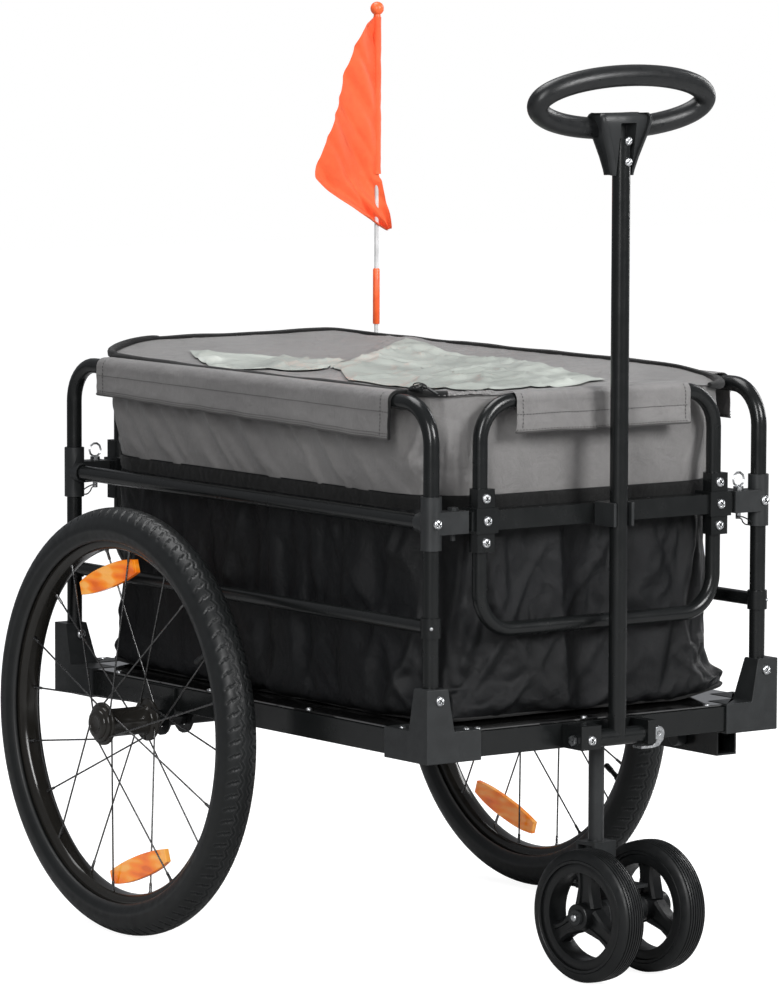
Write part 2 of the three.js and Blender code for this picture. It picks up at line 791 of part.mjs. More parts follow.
function gateConnector(side, end) {
  const x = side * gateHalfWidth;
  const y = end * beamY;
  const halfBlock = connectorBlockWidth / 2;
  const face = end * connectorBlockDepth / 2;
  const flat = y + end * connectorCollarRadius;
  const collar = new THREE.Shape();
  collar.moveTo(x - connectorCollarRadius, flat);
  collar.lineTo(x - connectorCollarRadius, y);
  collar.absarc(x, y, connectorCollarRadius, Math.PI, 0, end < 0);
  collar.lineTo(x + connectorCollarRadius, flat);
  return [
    boxBetween(x - halfBlock, y - face, blockFoot, x + halfBlock, y + face, blockTop),
    prism('z', collar, collarFoot, collarTop),
    boltHead('y', end, y + face, x, upperRailZ),
    boltHead('y', end, flat, x, (blockTop + collarTop) / 2),
    boltHead('y', end, flat, x, (blockFoot + collarFoot) / 2),
  ];
}

for (const [end, sign] of ends) {
  add(wagon, `${end}_gate_upper_loop`, gateLoop(sign, upperLoopFoot, gateTop), blackPaint);
  add(wagon, `${end}_gate_lower_loop`, gateLoop(sign, lowerLoopTop, gateBottom), blackPaint);
  add(wagon, `${end}_gate_bar`, gateBar(sign), blackPaint);
}

// The quick pin lifts out of the arm by the wire loop on its head.
function gateQuickPin(end) {
  const x = -end * armPinX;
  const y = end * beamY;
  const headFoot = armTop + fitGap;
  const loop = new THREE.TorusGeometry(pinLoopRadius, pinLoopWire, wireSides, tubeSides);
  loop.rotateX(Math.PI / 2).translate(x, y, headFoot + pinHeadHeight + pinLoopRadius);
  return joined(gatePin(x, y, headFoot), outward(loop));
}

for (const [end, sign] of ends) add(wagon, `${end}_gate_quick_pin`, gateQuickPin(sign), zinc);

// Pull handle bracket: a back plate on the front beam, a solid block to the left of the pivot
// tube and an ear with a flared foot to the right of it, both bored for the pivot bolt.
const blockInner = -(pivotTubeLeft + fitGap);
const blockOuter = blockInner - bracketBlockWidth;
const earInner = pivotTubeRight + fitGap;
const earOuter = earInner + bracketEarWidth;
const bracketBack = frontFaceY - fitGap;
const camX = earOuter + pinGap + camRadius;
const pivotBore = pivotBoltRadius + fitGap;

function handleBracket() {
  const foot = pivotZ - bracketDrop;
  const top = foot + bracketHeight;
  const nose = pivotY - bracketNose;
  const flare = earOuter + bracketEarWidth;
  const earOutline = outline([
    [earInner, nose], [earOuter, nose], [earOuter, bracketBack - handleForward / 2],
    [flare, bracketBack - bracketPlate], [flare, bracketBack], [earInner, bracketBack],
  ]);
  return cut(
    joined(
      boxBetween(blockOuter, nose, foot, blockInner, bracketBack, top),
      boxBetween(blockOuter, bracketBack - bracketPlate, foot, flare, bracketBack, top),
      prism('z', earOutline, foot, top),
      boltHead('y', -1, nose, (blockOuter + blockInner) / 2, pivotZ)),
    hole('x', pivotBore, blockOuter - cutOverrun, earOuter + cutOverrun, pivotY, pivotZ, tubeSides));
}

// Pivot bolt: a head on the left, a stud with a cross pin on the right that the cam turns on.
function pivotBolt() {
  const head = blockOuter - fitGap;
  return joined(
    rod('x', pinHeadRadius, head - pinHeadHeight, head, pivotY, pivotZ, boltSides),
    rod('x', pivotBoltRadius, head - fitGap, earOuter, pivotY, pivotZ, tubeSides),
    rod('x', studRadius, earOuter - fitGap, camX, pivotY, pivotZ, boltSides),
    rod('y', studEyeRadius, pivotY - studRadius, pivotY + studRadius, camX, pivotZ, tubeSides),
    rod('y', camPinRadius, pivotY - leverWidth / 2, pivotY + leverWidth / 2, camX, pivotZ, boltSides));
}

// Cam lever: a slotted barrel on the cross pin and a flat curved arm that runs back under the ear.
function pivotLever() {
  const low = pivotZ - leverDrop;
  const near = camX - camRadius;
  const arm = outline([
    [camX + camRadius, pivotZ], [camX + camRadius - leverThickness / 2, pivotZ - camRadius],
    [camX, low + leverThickness / 2], [near, low], [camX - leverLength, low],
    [camX - leverLength, low + leverThickness], [near, low + leverThickness],
    [camX - leverThickness, pivotZ - camRadius], [camX, pivotZ],
  ]);
  const slot = studRadius + fitGap;
  const free = studEyeRadius + fitGap;
  const front = pivotY - leverWidth / 2;
  const back = pivotY + leverWidth / 2;
  return cut(
    joined(rod('y', camRadius, front, back, camX, pivotZ), prism('y', arm, front, back)),
    hole('y', camPinRadius + fitGap, front - cutOverrun, back + cutOverrun, camX, pivotZ, boltSides),
    boxBetween(
      near - cutOverrun, pivotY - slot, pivotZ - free,
      camX + camRadius + cutOverrun, pivotY + slot, pivotZ + camRadius + cutOverrun));
}

// Handle pole with the pivot tube welded across its foot.
const poleBoltZ = poleTop - boltHeadRadius - boltHeadHeight;

function handlePole() {
  return cut(
    joined(
      rod('x', pivotTubeRadius, -pivotTubeLeft, pivotTubeRight, pivotY, pivotZ),
      rod('z', poleRadius, pivotZ, poleTop, 0, pivotY),
      boltHead('y', -1, pivotY - poleRadius + fitGap, 0, poleBoltZ)),
    hole('x', pivotBore, -pivotTubeLeft - cutOverrun, pivotTubeRight + cutOverrun, pivotY, pivotZ,
      tubeSides));
}

// Loop grip: a wide oval ring that leans forward, swept as one closed tube.
const gripLean = radians(gripLeanDegrees);
const gripUp = new THREE.Vector3(0, -Math.sin(gripLean), Math.cos(gripLean));
const gripFront = new THREE.Vector3(0, -Math.cos(gripLean), -Math.sin(gripLean));

function gripRing(radius) {
  const rings = Array.from({ length: gripSteps }, (_, i) => {
    const turn = i * tau / gripSteps;
    const [c, s] = [Math.cos(turn), Math.sin(turn)];
    const centre = gripCentre.clone().addScaledVector(gripUp, gripHalfHeight * s);
    centre.x += gripHalfWidth * c;
    const out = new THREE.Vector3(c / gripHalfWidth, 0, 0);
    out.addScaledVector(gripUp, s / gripHalfHeight).normalize();
    return Array.from({ length: gripSides }, (_, j) => {
      const roll = j * tau / gripSides;
      return centre.clone().addScaledVector(out, radius * Math.cos(roll))
        .addScaledVector(gripFront, radius * Math.sin(roll));
    });
  });
  return loft(rings, true);
}

// Boss that clamps the grip on the pole: a flared front with a slot, bored for pole and grip.
function ringBoss() {
  const foot = poleTop - bossGrasp;
  const top = foot + bossHeight;
  const front = pivotY - poleRadius - bossWall;
  const back = front + bossDepth;
  const [wide, narrow] = [bossWidth / 2, bossFootWidth / 2];
  const flare = new THREE.Shape();
  flare.moveTo(-narrow, foot);
  flare.lineTo(narrow, foot);
  flare.quadraticCurveTo(narrow + bossWall / 2, top - bossLipHeight * 2, wide, top - bossLipHeight);
  flare.lineTo(wide, top);
  flare.lineTo(-wide, top);
  flare.lineTo(-wide, top - bossLipHeight);
  flare.quadraticCurveTo(-narrow - bossWall / 2, top - bossLipHeight * 2, -narrow, foot);
  return cut(
    joined(
      prism('y', flare, front, back),
      boltHead('y', -1, front, 0, foot + bossBoltRise)),
    gripRing(gripTubeRadius + fitGap),
    hole('z', poleRadius + fitGap, foot - cutOverrun, poleTop + fitGap, 0, pivotY),
    boxBetween(
      -bossSlotWidth / 2, front - cutOverrun, foot + bossSlotRise,
      bossSlotWidth / 2, pivotY, top - bossSlotDrop));
}

// Pole clip on the crossbar: two prongs that the upright pole is pushed between.
function poleClip() {
  const bore = poleRadius + fitGap;
  const wide = bore + clipProng;
  const back = -(beamY + barSize / 2) - fitGap;
  const tip = pivotY - poleRadius;
  const foot = upperRailZ - clipHeight / 2;
  const top = upperRailZ + clipHeight / 2;
  return cut(
    boxBetween(-wide, tip, foot, wide, back, top),
    hole('z', bore, foot - cutOverrun, top + cutOverrun, 0, pivotY),
    boxBetween(-bore, tip - cutOverrun, foot - cutOverrun, bore, pivotY, top + cutOverrun));
}

add(wagon, 'handle_bracket', handleBracket(), blackPaint);
add(wagon, 'handle_pivot_bolt', pivotBolt(), zinc);
add(wagon, 'pivot_cam_lever', pivotLever(), zinc);
add(wagon, 'handle_pole', handlePole(), blackPaint);
add(wagon, 'grip_boss', ringBoss(), blackPlastic);
add(wagon, 'grip_ring', gripRing(gripTubeRadius), foamGrip);
add(wagon, 'pole_clip', poleClip(), blackPlastic);

// Tow bar receiver: an open square tube under the frame with a plate below the side beam.
const receiverTop = frameUnderside - fitGap;
const receiverMiddle = receiverTop - receiverSize / 2;
const receiverFront = -halfLength + receiverSetback;
const receiverFace = receiverOffset - receiverSize / 2;
const knobY = receiverFront + knobSetback;

function towReceiver() {
  const half = receiverSize / 2;
  const clear = half - receiverWall;
  const back = receiverFront + receiverLength;
  const plateFront = -halfLength + sideSleeveLength + fitGap;
  return cut(
    joined(
      boxBetween(
        receiverOffset - half, receiverFront, receiverMiddle - half,
        receiverOffset + half, back, receiverTop),
      boxBetween(
        receiverOffset - half, plateFront, receiverTop - receiverWall,
        beamX + beamSize / 2, back, beamBottom - fitGap),
      boltHead('x', -1, receiverFace, receiverFront + receiverBoltSetback, receiverMiddle)),
    boxBetween(
      receiverOffset - clear, receiverFront - cutOverrun, receiverMiddle - clear,
      receiverOffset + clear, back + cutOverrun, receiverMiddle + clear),
    hole('x', plungerRadius + pinGap, receiverFace - cutOverrun, receiverFace + cutOverrun,
      knobY, receiverMiddle, tubeSides));
}

// Spring plunger with a knob, drawn out sideways to free the tow bar.
function receiverKnob() {
  const face = receiverFace - fitGap;
  return joined(
    rod('x', knobRadius, face - knobLength, face, knobY, receiverMiddle),
    rod('x', plungerRadius, face - fitGap, receiverFace + receiverWall + plungerReach,
      knobY, receiverMiddle, tubeSides));
}

add(wagon, 'tow_receiver', towReceiver(), blackPaint);
add(wagon, 'receiver_lock_knob', receiverKnob(), blackPlastic);

// Front caster: it turns about its stem in the front beam, the wheels a little ahead of the stem.
const caster = new THREE.Group();
caster.name = 'front_caster';
caster.position.set(0, -beamY, 0);
caster.rotation.z = radians(casterSwivelDegrees);
wagon.add(caster);

function casterFork() {
  const bossHalf = casterSpacing / 2 - casterHubHalfLength - fitGap;
  const axleTip = casterSpacing / 2 + casterHubHalfLength + fitGap;
  const flangeTop = beamBottom - fitGap;
  const axle = (radius, from, to, facets) =>
    rod('x', radius, from, to, -casterTrail, casterRadius, facets);
  const web = outline([
    [-yokeHalfLength, yokeTop], [-yokeHalfLength, yokeFoot + yokeRib], [-casterTrail, yokeFoot + yokeRib],
    [-casterTrail - yokeBossRadius, casterRadius], [-casterTrail, casterRadius - yokeBossRadius / 2],
    [-casterTrail + yokeBossRadius, casterRadius], [yokeHalfLength, yokeFoot], [yokeHalfLength, yokeTop],
  ]);
  const half = yokeWidth / 2;
  const shelf = yokeFoot + yokeRib;
  return joined(
    rod('z', stemRadius, yokeTop - yokeRib, beamTop - fitGap, 0, 0, tubeSides),
    rod('z', stemFlangeRadius, flangeTop - stemFlangeHeight, flangeTop, 0, 0, tubeSides),
    rod('z', stemRadius + yokeRib, yokeFoot, yokeTop, 0, 0, tubeSides),
    prism('x', web, -yokeWeb / 2, yokeWeb / 2),
    boxBetween(-half, -yokeHalfLength, yokeTop - yokeRib, half, yokeHalfLength, yokeTop),
    boxBetween(-half, -yokeHalfLength, yokeFoot, half, -yokeHalfLength + yokeRib, yokeTop),
    boxBetween(-half, yokeHalfLength - yokeRib, yokeFoot, half, yokeHalfLength, yokeTop),
    boxBetween(
      -bossHalf, -casterTrail - yokeBossRadius, shelf, bossHalf, yokeHalfLength, shelf + yokeRib),
    axle(yokeBossRadius, -bossHalf, bossHalf),
    axle(casterAxleRadius, -axleTip, axleTip, headSides),
    axle(casterCapRadius, axleTip - fitGap, axleTip + casterCapHeight, tubeSides),
    axle(casterCapRadius, -axleTip - casterCapHeight, -axleTip + fitGap, tubeSides));
}

// Caster wheel: rounded tyre on a three-spoke core.
function casterWheel() {
  const w = casterTyreHalfWidth;
  const h = casterRimHalfWidth;
  const ring = turned([
    [casterRimInnerRadius, -h], [casterRimRadius, -h], [casterRimRadius, -w],
    [casterRadius - casterTyreRound, -w], [casterRadius, -w / 2], [casterRadius, w / 2],
    [casterRadius - casterTyreRound, w], [casterRimRadius, w], [casterRimRadius, h],
    [casterRimInnerRadius, h], [casterRimInnerRadius, -h],
  ], casterFacets);
  const hub = turned([
    [0, -casterHubHalfLength], [casterHubRadius, -casterHubHalfLength],
    [casterHubRadius, casterHubHalfLength], [0, casterHubHalfLength],
  ], roundSides);
  const t = casterSpokeHalfThickness;
  const spoke = outline([
    [-casterHubRadius, 0], [-casterSpokeWidth / 2, casterRimInnerRadius + yokeRib],
    [casterSpokeWidth / 2, casterRimInnerRadius + yokeRib], [casterHubRadius, 0],
  ]);
  const spokes = [0, 1, 2].map((i) => prism('x', spoke, -t, t).rotateX(i * tau / casterSpokeCount));
  return cut(
    joined(ring, hub, ...spokes),
    hole('x', casterAxleRadius + pinGap, -casterHubHalfLength - cutOverrun,
      casterHubHalfLength + cutOverrun, 0, 0, headSides));
}

add(caster, 'caster_fork', casterFork(), blackPlastic);
for (const [side, sign] of sides) {
  const place = [sign * casterSpacing / 2, -casterTrail, casterRadius];
  add(caster, `${side}_caster_wheel`, casterWheel(), tyreRubber, ...place);
}

// Road wheels: tyre, rim, and a hub laced with crossing spokes.
function tyre() {
  const w = tyreHalfWidth;
  const lip = rimRadius + fitGap;
  const crown = wheelRadius;
  const belly = (lip + crown) / 2;
  const bead = rimHalfWidth - rimWallThickness - fitGap;
  return turned([
    [lip, -rimHalfWidth], [belly, -w], [crown - treadDrop, -w * treadShare], [crown, 0],
    [crown - treadDrop, w * treadShare], [belly, w], [lip, rimHalfWidth],
    [lip, bead], [crown - tyreWall, bead], [crown - tyreWall, -bead], [lip, -bead],
    [lip, -rimHalfWidth],
  ], wheelFacets, -Math.PI / 2);
}

function rim() {
  const lip = rimHalfWidth;
  const inner = lip - rimWallThickness;
  const well = inner - rimWallThickness;
  const floor = rimInnerRadius + rimWallThickness;
  return turned([
    [rimInnerRadius, -well], [rimInnerRadius + rimWellDepth / 2, -lip], [rimRadius, -lip],
    [rimRadius, -inner], [floor, -well], [floor, well], [rimRadius, inner], [rimRadius, lip],
    [rimInnerRadius + rimWellDepth / 2, lip], [rimInnerRadius, well], [rimInnerRadius, -well],
  ], wheelFacets, -Math.PI / 2);
}

// Spokes leave the two hub flanges in turn, leading and trailing, and cross on their way out.
const flangePlane = hubHalfLength - hubFlangeThickness / 2;
const lacing = radians(spokeLacingDegrees);
const spokeTip = rimInnerRadius * Math.cos(Math.PI / wheelFacets) - pinGap;

const spokeTurn = (i) => radians(spokeStartDegrees) + i * tau / spokeCount;

function spokeEnds(i) {
  const flange = i % 2 === 0 ? 1 : -1;
  const leading = Math.floor(i / 2) % 2 === 0;
  const head = flangePlane + (leading ? spokeStagger : -spokeStagger);
  const trail = leading ? lacing : -lacing;
  const turn = spokeTurn(i);
  const place = (x, radius, angle) =>
    new THREE.Vector3(x, radius * Math.cos(angle), radius * Math.sin(angle));
  return [
    place(flange * head, spokeCircleRadius, turn + trail),
    place(flange * spokeRimOffset, spokeTip, turn),
  ];
}

function spoke(i) {
  const [from, to] = spokeEnds(i);
  const run = to.clone().sub(from).normalize();
  const across = new THREE.Vector3(1, 0, 0).cross(run).normalize();
  const aside = run.clone().cross(across);
  const ring = (centre) => Array.from({ length: wireSides }, (_, j) => {
    const roll = j * tau / wireSides;
    return centre.clone().addScaledVector(across, spokeRadius * Math.cos(roll))
      .addScaledVector(aside, spokeRadius * Math.sin(roll));
  });
  return loft([ring(from), ring(to)]);
}

// The hub's own axis runs along X; its cap faces outboard, its blind bore faces the frame.
function lacedHub(side) {
  const end = hubHalfLength;
  const inboard = end - hubFlangeThickness;
  const capEnd = end + hubCapLength;
  const barrel = turned([
    [0, -end], [hubFlangeRadius, -end], [hubFlangeRadius, -inboard], [hubBarrelRadius, -inboard],
    [hubBarrelRadius, inboard], [hubFlangeRadius, inboard], [hubFlangeRadius, end],
    [hubCapRadius, end], [hubCapRadius, capEnd - hubCapRound], [hubCapRadius - hubCapRound, capEnd],
    [0, capEnd],
  ], roundSides);
  if (side < 0) barrel.rotateY(Math.PI);
  const bore = hole('x', axleStubRadius + pinGap, -side * (end + cutOverrun),
    side * (axleStubReach + pinGap), 0, 0, tubeSides);
  const spokes = Array.from({ length: spokeCount }, (_, i) => spoke(i));
  return cut(joined(outward(barrel), ...spokes), bore);
}

// How far a spoke stands off the wheel's middle plane at a given radius.
function spokeStandOff(i, radius) {
  const [from, to] = spokeEnds(i);
  const run = to.clone().sub(from);
  const a = run.y * run.y + run.z * run.z;
  const b = from.y * run.y + from.z * run.z;
  const c = from.y * from.y + from.z * from.z - radius * radius;
  const t = (-b + Math.sqrt(b * b - a * c)) / a;
  return Math.abs(from.x + run.x * t);
}

// The spokes of one flange that cross a reflector, or the nearest one if none does.
function spokesAcross(flange, turn) {
  const span = Math.atan(reflectorLength / (2 * reflectorCircleRadius));
  const away = (i) => {
    const between = Math.abs(spokeTurn(i) - turn) % tau;
    return Math.min(between, tau - between);
  };
  const own = Array.from({ length: spokeCount }, (_, i) => i).filter((i) => i % 2 === flange);
  own.sort((a, b) => away(a) - away(b));
  return own.filter((i, place) => place === 0 || away(i) < span);
}

// Reflector: a flat bar with chamfered ends and a rib on each face that meets the spokes.
function reflector(turn) {
  const half = reflectorLength / 2;
  const tall = reflectorHeight / 2;
  const flat = half - reflectorEndTaper;
  const face = outline([
    [-half, -tall], [half, -tall], [half, tall / 2], [flat, tall], [-flat, tall], [-half, tall / 2],
  ]);
  const plate = prism('x', face, -reflectorThickness / 2, reflectorThickness / 2);
  const places = reflectorRibShares.map((share) => flat * share);
  const reach = (flange, y) => {
    const radius = Math.hypot(reflectorCircleRadius + reflectorRib / 2, y);
    const spokes = spokesAcross(flange, turn + Math.PI / 2);
    return Math.min(...spokes.map((i) => spokeStandOff(i, radius))) - spokeRadius - fitGap;
  };
  const crown = places.map((y) => [reach(0, y), y]);
  const hollow = [...places].reverse().map((y) => [-reach(1, y), y]);
  const rib = prism('z', outline([...crown, ...hollow]), -reflectorRib / 2, reflectorRib / 2);
  const body = joined(plate, rib).translate(0, 0, reflectorCircleRadius);
  return outward(body.rotateX(turn));
}

for (const [side, sign] of sides) {
  const wheel = new THREE.Group();
  wheel.name = `${side}_wheel`;
  wheel.position.set(sign * wheelOffset, axleSetback, axleHeight);
  wagon.add(wheel);
  add(wheel, `${side}_tyre`, tyre(), tyreRubber);
  add(wheel, `${side}_rim`, rim(), wheelBlack);
  add(wheel, `${side}_laced_hub`, lacedHub(sign), wheelBlack);
  const lean = radians(sign < 0 ? leftReflectorDegrees : rightReflectorDegrees) - Math.PI / 2;
  add(wheel, `${side}_upper_reflector`, reflector(lean), amber);
  add(wheel, `${side}_lower_reflector`, reflector(lean + Math.PI), amber);
}

// Bag: rings of a rounded rectangle stacked into a basket, a skirt above it and a crowned cover.
function bagRing(halfX, halfY, z, radius) {
  const corners = [[1, 1, 0], [-1, 1, 1], [-1, -1, 2], [1, -1, 3]];
  return corners.flatMap(([cx, cy, quarter]) =>
    Array.from({ length: bagSteps + 1 }, (_, i) => {
      const turn = (quarter + i / bagSteps) * Math.PI / 2;
      return new THREE.Vector3(
        cx * (halfX - radius) + radius * Math.cos(turn),
        cy * (halfY - radius) + radius * Math.sin(turn), z);
    }));
}

const bagHalfWidth = beamX - teeRadius - bagSideClearance;
const bagHalfLength = beamY - connectorBlockDepth / 2 - bagEndClearance;
const bagFoot = floorTop + fitGap;
const linerTop = frameUnderside + linerTopRise;
const coverFoot = archTop + postRadius;
const skirtTop = coverFoot - fitGap;

// The outer rings of a wall between two heights; the side walls of its foot may taper in further.
function bagWalls(shares, foot, top, taper) {
  return shares.map(([heightShare, sagShare, radiusShare]) => {
    const inset = linerSag * sagShare;
    const side = bagHalfWidth - inset - (heightShare === 0 ? taper : 0);
    return [side, bagHalfLength - inset, foot + (top - foot) * heightShare, bagCornerRadius * radiusShare];
  });
}

const outerRings = (walls) => walls.map((wall) => bagRing(...wall));
const innerRings = (walls) => walls.map(([x, y, z, radius]) =>
  bagRing(x - bagWall, y - bagWall, z, radius - bagWall)).reverse();

function bagLiner() {
  const walls = bagWalls(linerShares, bagFoot, linerTop, linerFootTaper);
  const lining = walls.map(([x, y, z, radius], i) => [x, y, i === 0 ? z + bagWall : z, radius]);
  return loft([...outerRings(walls), ...innerRings(lining)]);
}

// A flap hangs over a rail: the section is drawn across the rail, outboard to the right.
function flapSection(wall, rail, height, tube) {
  const clear = tube + flapGap;
  const outer = clear + flapThickness;
  const skirtInner = wall - bagWall;
  const under = height - flapDrop;
  const arc = (radius, from, to) => Array.from({ length: flapSteps + 1 }, (_, i) => {
    const turn = from + (to - from) * i / flapSteps;
    return [rail + radius * Math.cos(turn), height + radius * Math.sin(turn)];
  });
  return outline([
    [skirtInner, skirtTop - flapDrop], [wall, skirtTop - flapDrop],
    ...arc(clear, Math.PI, 0), [rail + clear, under], [rail + outer, under],
    ...arc(outer, 0, Math.PI * flapWrapShare), [wall, skirtTop - flapThickness],
    [skirtInner, skirtTop - flapThickness],
  ]);
}

function bagSkirt() {
  const foot = linerTop + fitGap;
  const [x, y] = [bagHalfWidth, bagHalfLength];
  const walls = bagWalls(skirtShares, foot, skirtTop, 0);
  const wall = loft([...outerRings(walls), ...innerRings(walls)], true);
  const sideFlap = flapSection(x, beamX, archTop, postRadius);
  const endFlap = flapSection(y, beamY, gateTop, gateTubeRadius);
  const right = prism('y', sideFlap, sideFlapSetback - beamY, beamY - sideFlapSetback);
  const rear = prism('x', endFlap, endFlapSetback - gateHalfWidth, gateHalfWidth - endFlapSetback);
  const turned180 = (flap) => outward(flap.clone().rotateZ(Math.PI));
  return joined(wall, right, turned180(right), rear, turned180(rear));
}

function bagCover() {
  const corner = bagCornerRadius * skirtShares.at(-1)[2];
  const level = ([insetShare, riseShare], lift) => {
    const inset = coverInset + (bagHalfWidth - corner - coverInset) * insetShare;
    const z = coverFoot + coverRise * riseShare + lift;
    return bagRing(bagHalfWidth - inset, bagHalfLength - inset, z, corner);
  };
  const under = coverShares.map((shares) => level(shares, 0));
  const over = coverShares.map((shares) => level(shares, coverThickness));
  return loft([...under.reverse(), ...over]);
}

add(wagon, 'bag_liner', bagLiner(), blackCloth);
add(wagon, 'bag_skirt', bagSkirt(), greyCloth);
add(wagon, 'bag_cover', bagCover(), greyCloth);

// Safety flag: a clamp on the rear right post, a rod in two lengths and a drooping cloth.
const flagX = beamX - flagRodInset;
const flagY = beamY + flagRodSetback;
const holderFoot = frameUnderside + flagHolderFoot;
const rodBore = flagRodRadius + fitGap;

function flagHolder() {
  const top = holderFoot + flagHolderHeight;
  const half = flagHolderRadius - flagHolderWall / 2;
  return cut(
    joined(
      rod('z', flagClampRadius, holderFoot, top, beamX, beamY),
      rod('z', flagHolderRadius, holderFoot, top, flagX, flagY, tubeSides),
      boxBetween(flagX - half, beamY, holderFoot, flagX + half, flagY, top)),
    hole('z', postRadius + fitGap, holderFoot - cutOverrun, top + cutOverrun, beamX, beamY),
    hole('z', rodBore, holderFoot + flagHolderWall, top + cutOverrun, flagX, flagY, tubeSides));
}

const ferruleTop = frameUnderside + flagFerruleTop;
const ferruleFoot = frameUnderside + flagFerruleFoot;
const rodJoint = (ferruleTop + ferruleFoot) / 2;

function lowerFlagRod() {
  return cut(
    joined(
      rod('z', flagRodRadius, holderFoot + flagHolderWall + fitGap, rodJoint, flagX, flagY, tubeSides),
      rod('z', flagFerruleRadius, ferruleFoot, ferruleTop, flagX, flagY, tubeSides)),
    hole('z', rodBore, rodJoint, ferruleTop + cutOverrun, flagX, flagY, tubeSides));
}

function upperFlagRod() {
  const top = frameUnderside + flagTopRise;
  const ball = new THREE.SphereGeometry(flagBallRadius, tubeSides, bagSteps + 2);
  ball.rotateX(Math.PI / 2).translate(flagX, flagY, top);
  return joined(
    rod('z', flagRodRadius, rodJoint + fitGap, top, flagX, flagY, tubeSides), outward(ball));
}

// The cloth hangs from its hoist: each row runs from its free edge to the rod or past it.
function flagCloth() {
  const hoistTop = frameUnderside + flagHoistTop;
  const hoistFoot = frameUnderside + flagHoistFoot;
  const half = flagClothThickness / 2;
  const rows = flagShares.map(([dropShare, flyShare, pastShare, frontShare]) => {
    const z = hoistTop - (hoistTop - hoistFoot) * dropShare;
    const from = flagX - flagFly * flyShare;
    const to = flagX + flagFly * pastShare;
    const side = (offset) => Array.from({ length: flagColumns + 1 }, (_, j) => {
      const x = from + (to - from) * j / flagColumns;
      const wave = Math.sin((flagX - x) / flagFly * flagWaves * tau);
      const y = flagY - flagFrontStep * frontShare - flagFoldDepth * wave * (1 - frontShare / 2);
      return new THREE.Vector3(x, y + offset, z);
    });
    return [...side(-half), ...side(half).reverse()];
  });
  const sleeve = rod('z', flagSleeveRadius, hoistFoot, hoistTop, flagX, flagY, tubeSides);
  const bore = hole('z', rodBore, hoistFoot - cutOverrun, hoistTop + cutOverrun, flagX, flagY, tubeSides);
  return cut(joined(loft(rows), sleeve), bore);
}

add(wagon, 'flag_holder', flagHolder(), blackPlastic);
add(wagon, 'flag_lower_rod', lowerFlagRod(), clearRod);
add(wagon, 'flag_upper_rod', upperFlagRod(), clearRod);
add(wagon, 'flag_cloth', flagCloth(), flagOrange);

// The origin goes to the middle of the footprint; the ground stays at zero.
const bounds = new THREE.Box3().setFromObject(wagon, true);
const middle = bounds.getCenter(new THREE.Vector3());
for (const piece of wagon.children) {
  piece.position.x -= middle.x;
  piece.position.y -= middle.y;
  piece.position.z -= bounds.min.z;
}

export default wagon;
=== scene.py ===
from functools import cache
import math

import bmesh
import bpy
from mathutils import Matrix, Vector, noise


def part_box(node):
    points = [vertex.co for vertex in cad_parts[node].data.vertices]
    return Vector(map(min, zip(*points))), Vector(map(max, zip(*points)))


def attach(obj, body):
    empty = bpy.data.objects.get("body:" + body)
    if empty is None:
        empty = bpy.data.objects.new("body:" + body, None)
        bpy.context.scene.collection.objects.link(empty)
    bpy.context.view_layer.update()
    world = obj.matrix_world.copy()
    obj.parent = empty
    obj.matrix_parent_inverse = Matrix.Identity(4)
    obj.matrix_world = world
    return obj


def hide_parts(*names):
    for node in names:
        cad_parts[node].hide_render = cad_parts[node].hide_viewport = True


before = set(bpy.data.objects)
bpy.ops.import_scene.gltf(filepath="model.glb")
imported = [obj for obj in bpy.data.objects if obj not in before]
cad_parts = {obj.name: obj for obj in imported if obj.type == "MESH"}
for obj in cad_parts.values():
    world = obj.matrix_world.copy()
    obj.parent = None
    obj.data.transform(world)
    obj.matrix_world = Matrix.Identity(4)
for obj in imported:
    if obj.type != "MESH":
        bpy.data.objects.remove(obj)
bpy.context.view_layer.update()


@cache
def box(node):
    return tuple(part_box(node))


def low(node):
    return box(node)[0].copy()


def high(node):
    return box(node)[1].copy()


def middle(node):
    return (low(node) + high(node)) / 2


# The base's own centre, which the camera and the symmetric pieces are set out from.
BASE_Y = (low("front_beam").y + high("rear_beam").y) / 2


def at(x, y, z):
    return Vector((x, y + BASE_Y, z))


# Places and sizes in metres, as in the model. FACET_SHARE is how high its ten-sided tubes reach.
POST_X = -middle("left_upper_rail").x
COLLAR_R = 0.0115
POST_Y = (high("right_lower_rail").y - low("right_lower_rail").y) / 2 - COLLAR_R
FLOOR_TOP = high("floor_panel").z
TUBE = 0.009
GATE_TUBE = 0.0085
FACET_SHARE = math.cos(math.radians(18))
ARCH_RAIL_Z = high("left_arch").z - TUBE * FACET_SHARE
ARCH_BEND = 0.045
GATE_X = 0.166
GATE_BEND = 0.043
GATE_LOW_Z = low("front_gate_lower_loop").z + GATE_TUBE * FACET_SHARE
UPPER_RAIL_Z = middle("left_upper_rail").z
LOWER_RAIL_Z = middle("left_lower_rail").z
PIVOT = Vector((0, middle("handle_pivot_bolt").y, middle("handle_pivot_bolt").z))
AXLE = middle("axle")
WHEEL_X = middle("right_tyre").x


# Helpers
def smoothstep(a, b, x):
    t = min(1.0, max(0.0, (x - a) / (b - a)))
    return t * t * (3 - 2 * t)


def linked(name, data):
    obj = bpy.data.objects.new(name, data)
    bpy.context.scene.collection.objects.link(obj)
    return obj


def smooth_faces(mesh):
    mesh.polygons.foreach_set("use_smooth", [True] * len(mesh.polygons))


def sharp_edges(obj, degrees):
    obj.data.set_sharp_from_angle(angle=math.radians(degrees))


def new_object(name, vertices, faces):
    mesh = bpy.data.meshes.new(name)
    mesh.from_pydata([tuple(v) for v in vertices], [], faces)
    mesh.update()
    smooth_faces(mesh)
    return linked(name, mesh)


def from_bmesh(name, bm):
    mesh = bpy.data.meshes.new(name)
    bm.to_mesh(mesh)
    bm.free()
    return linked(name, mesh)


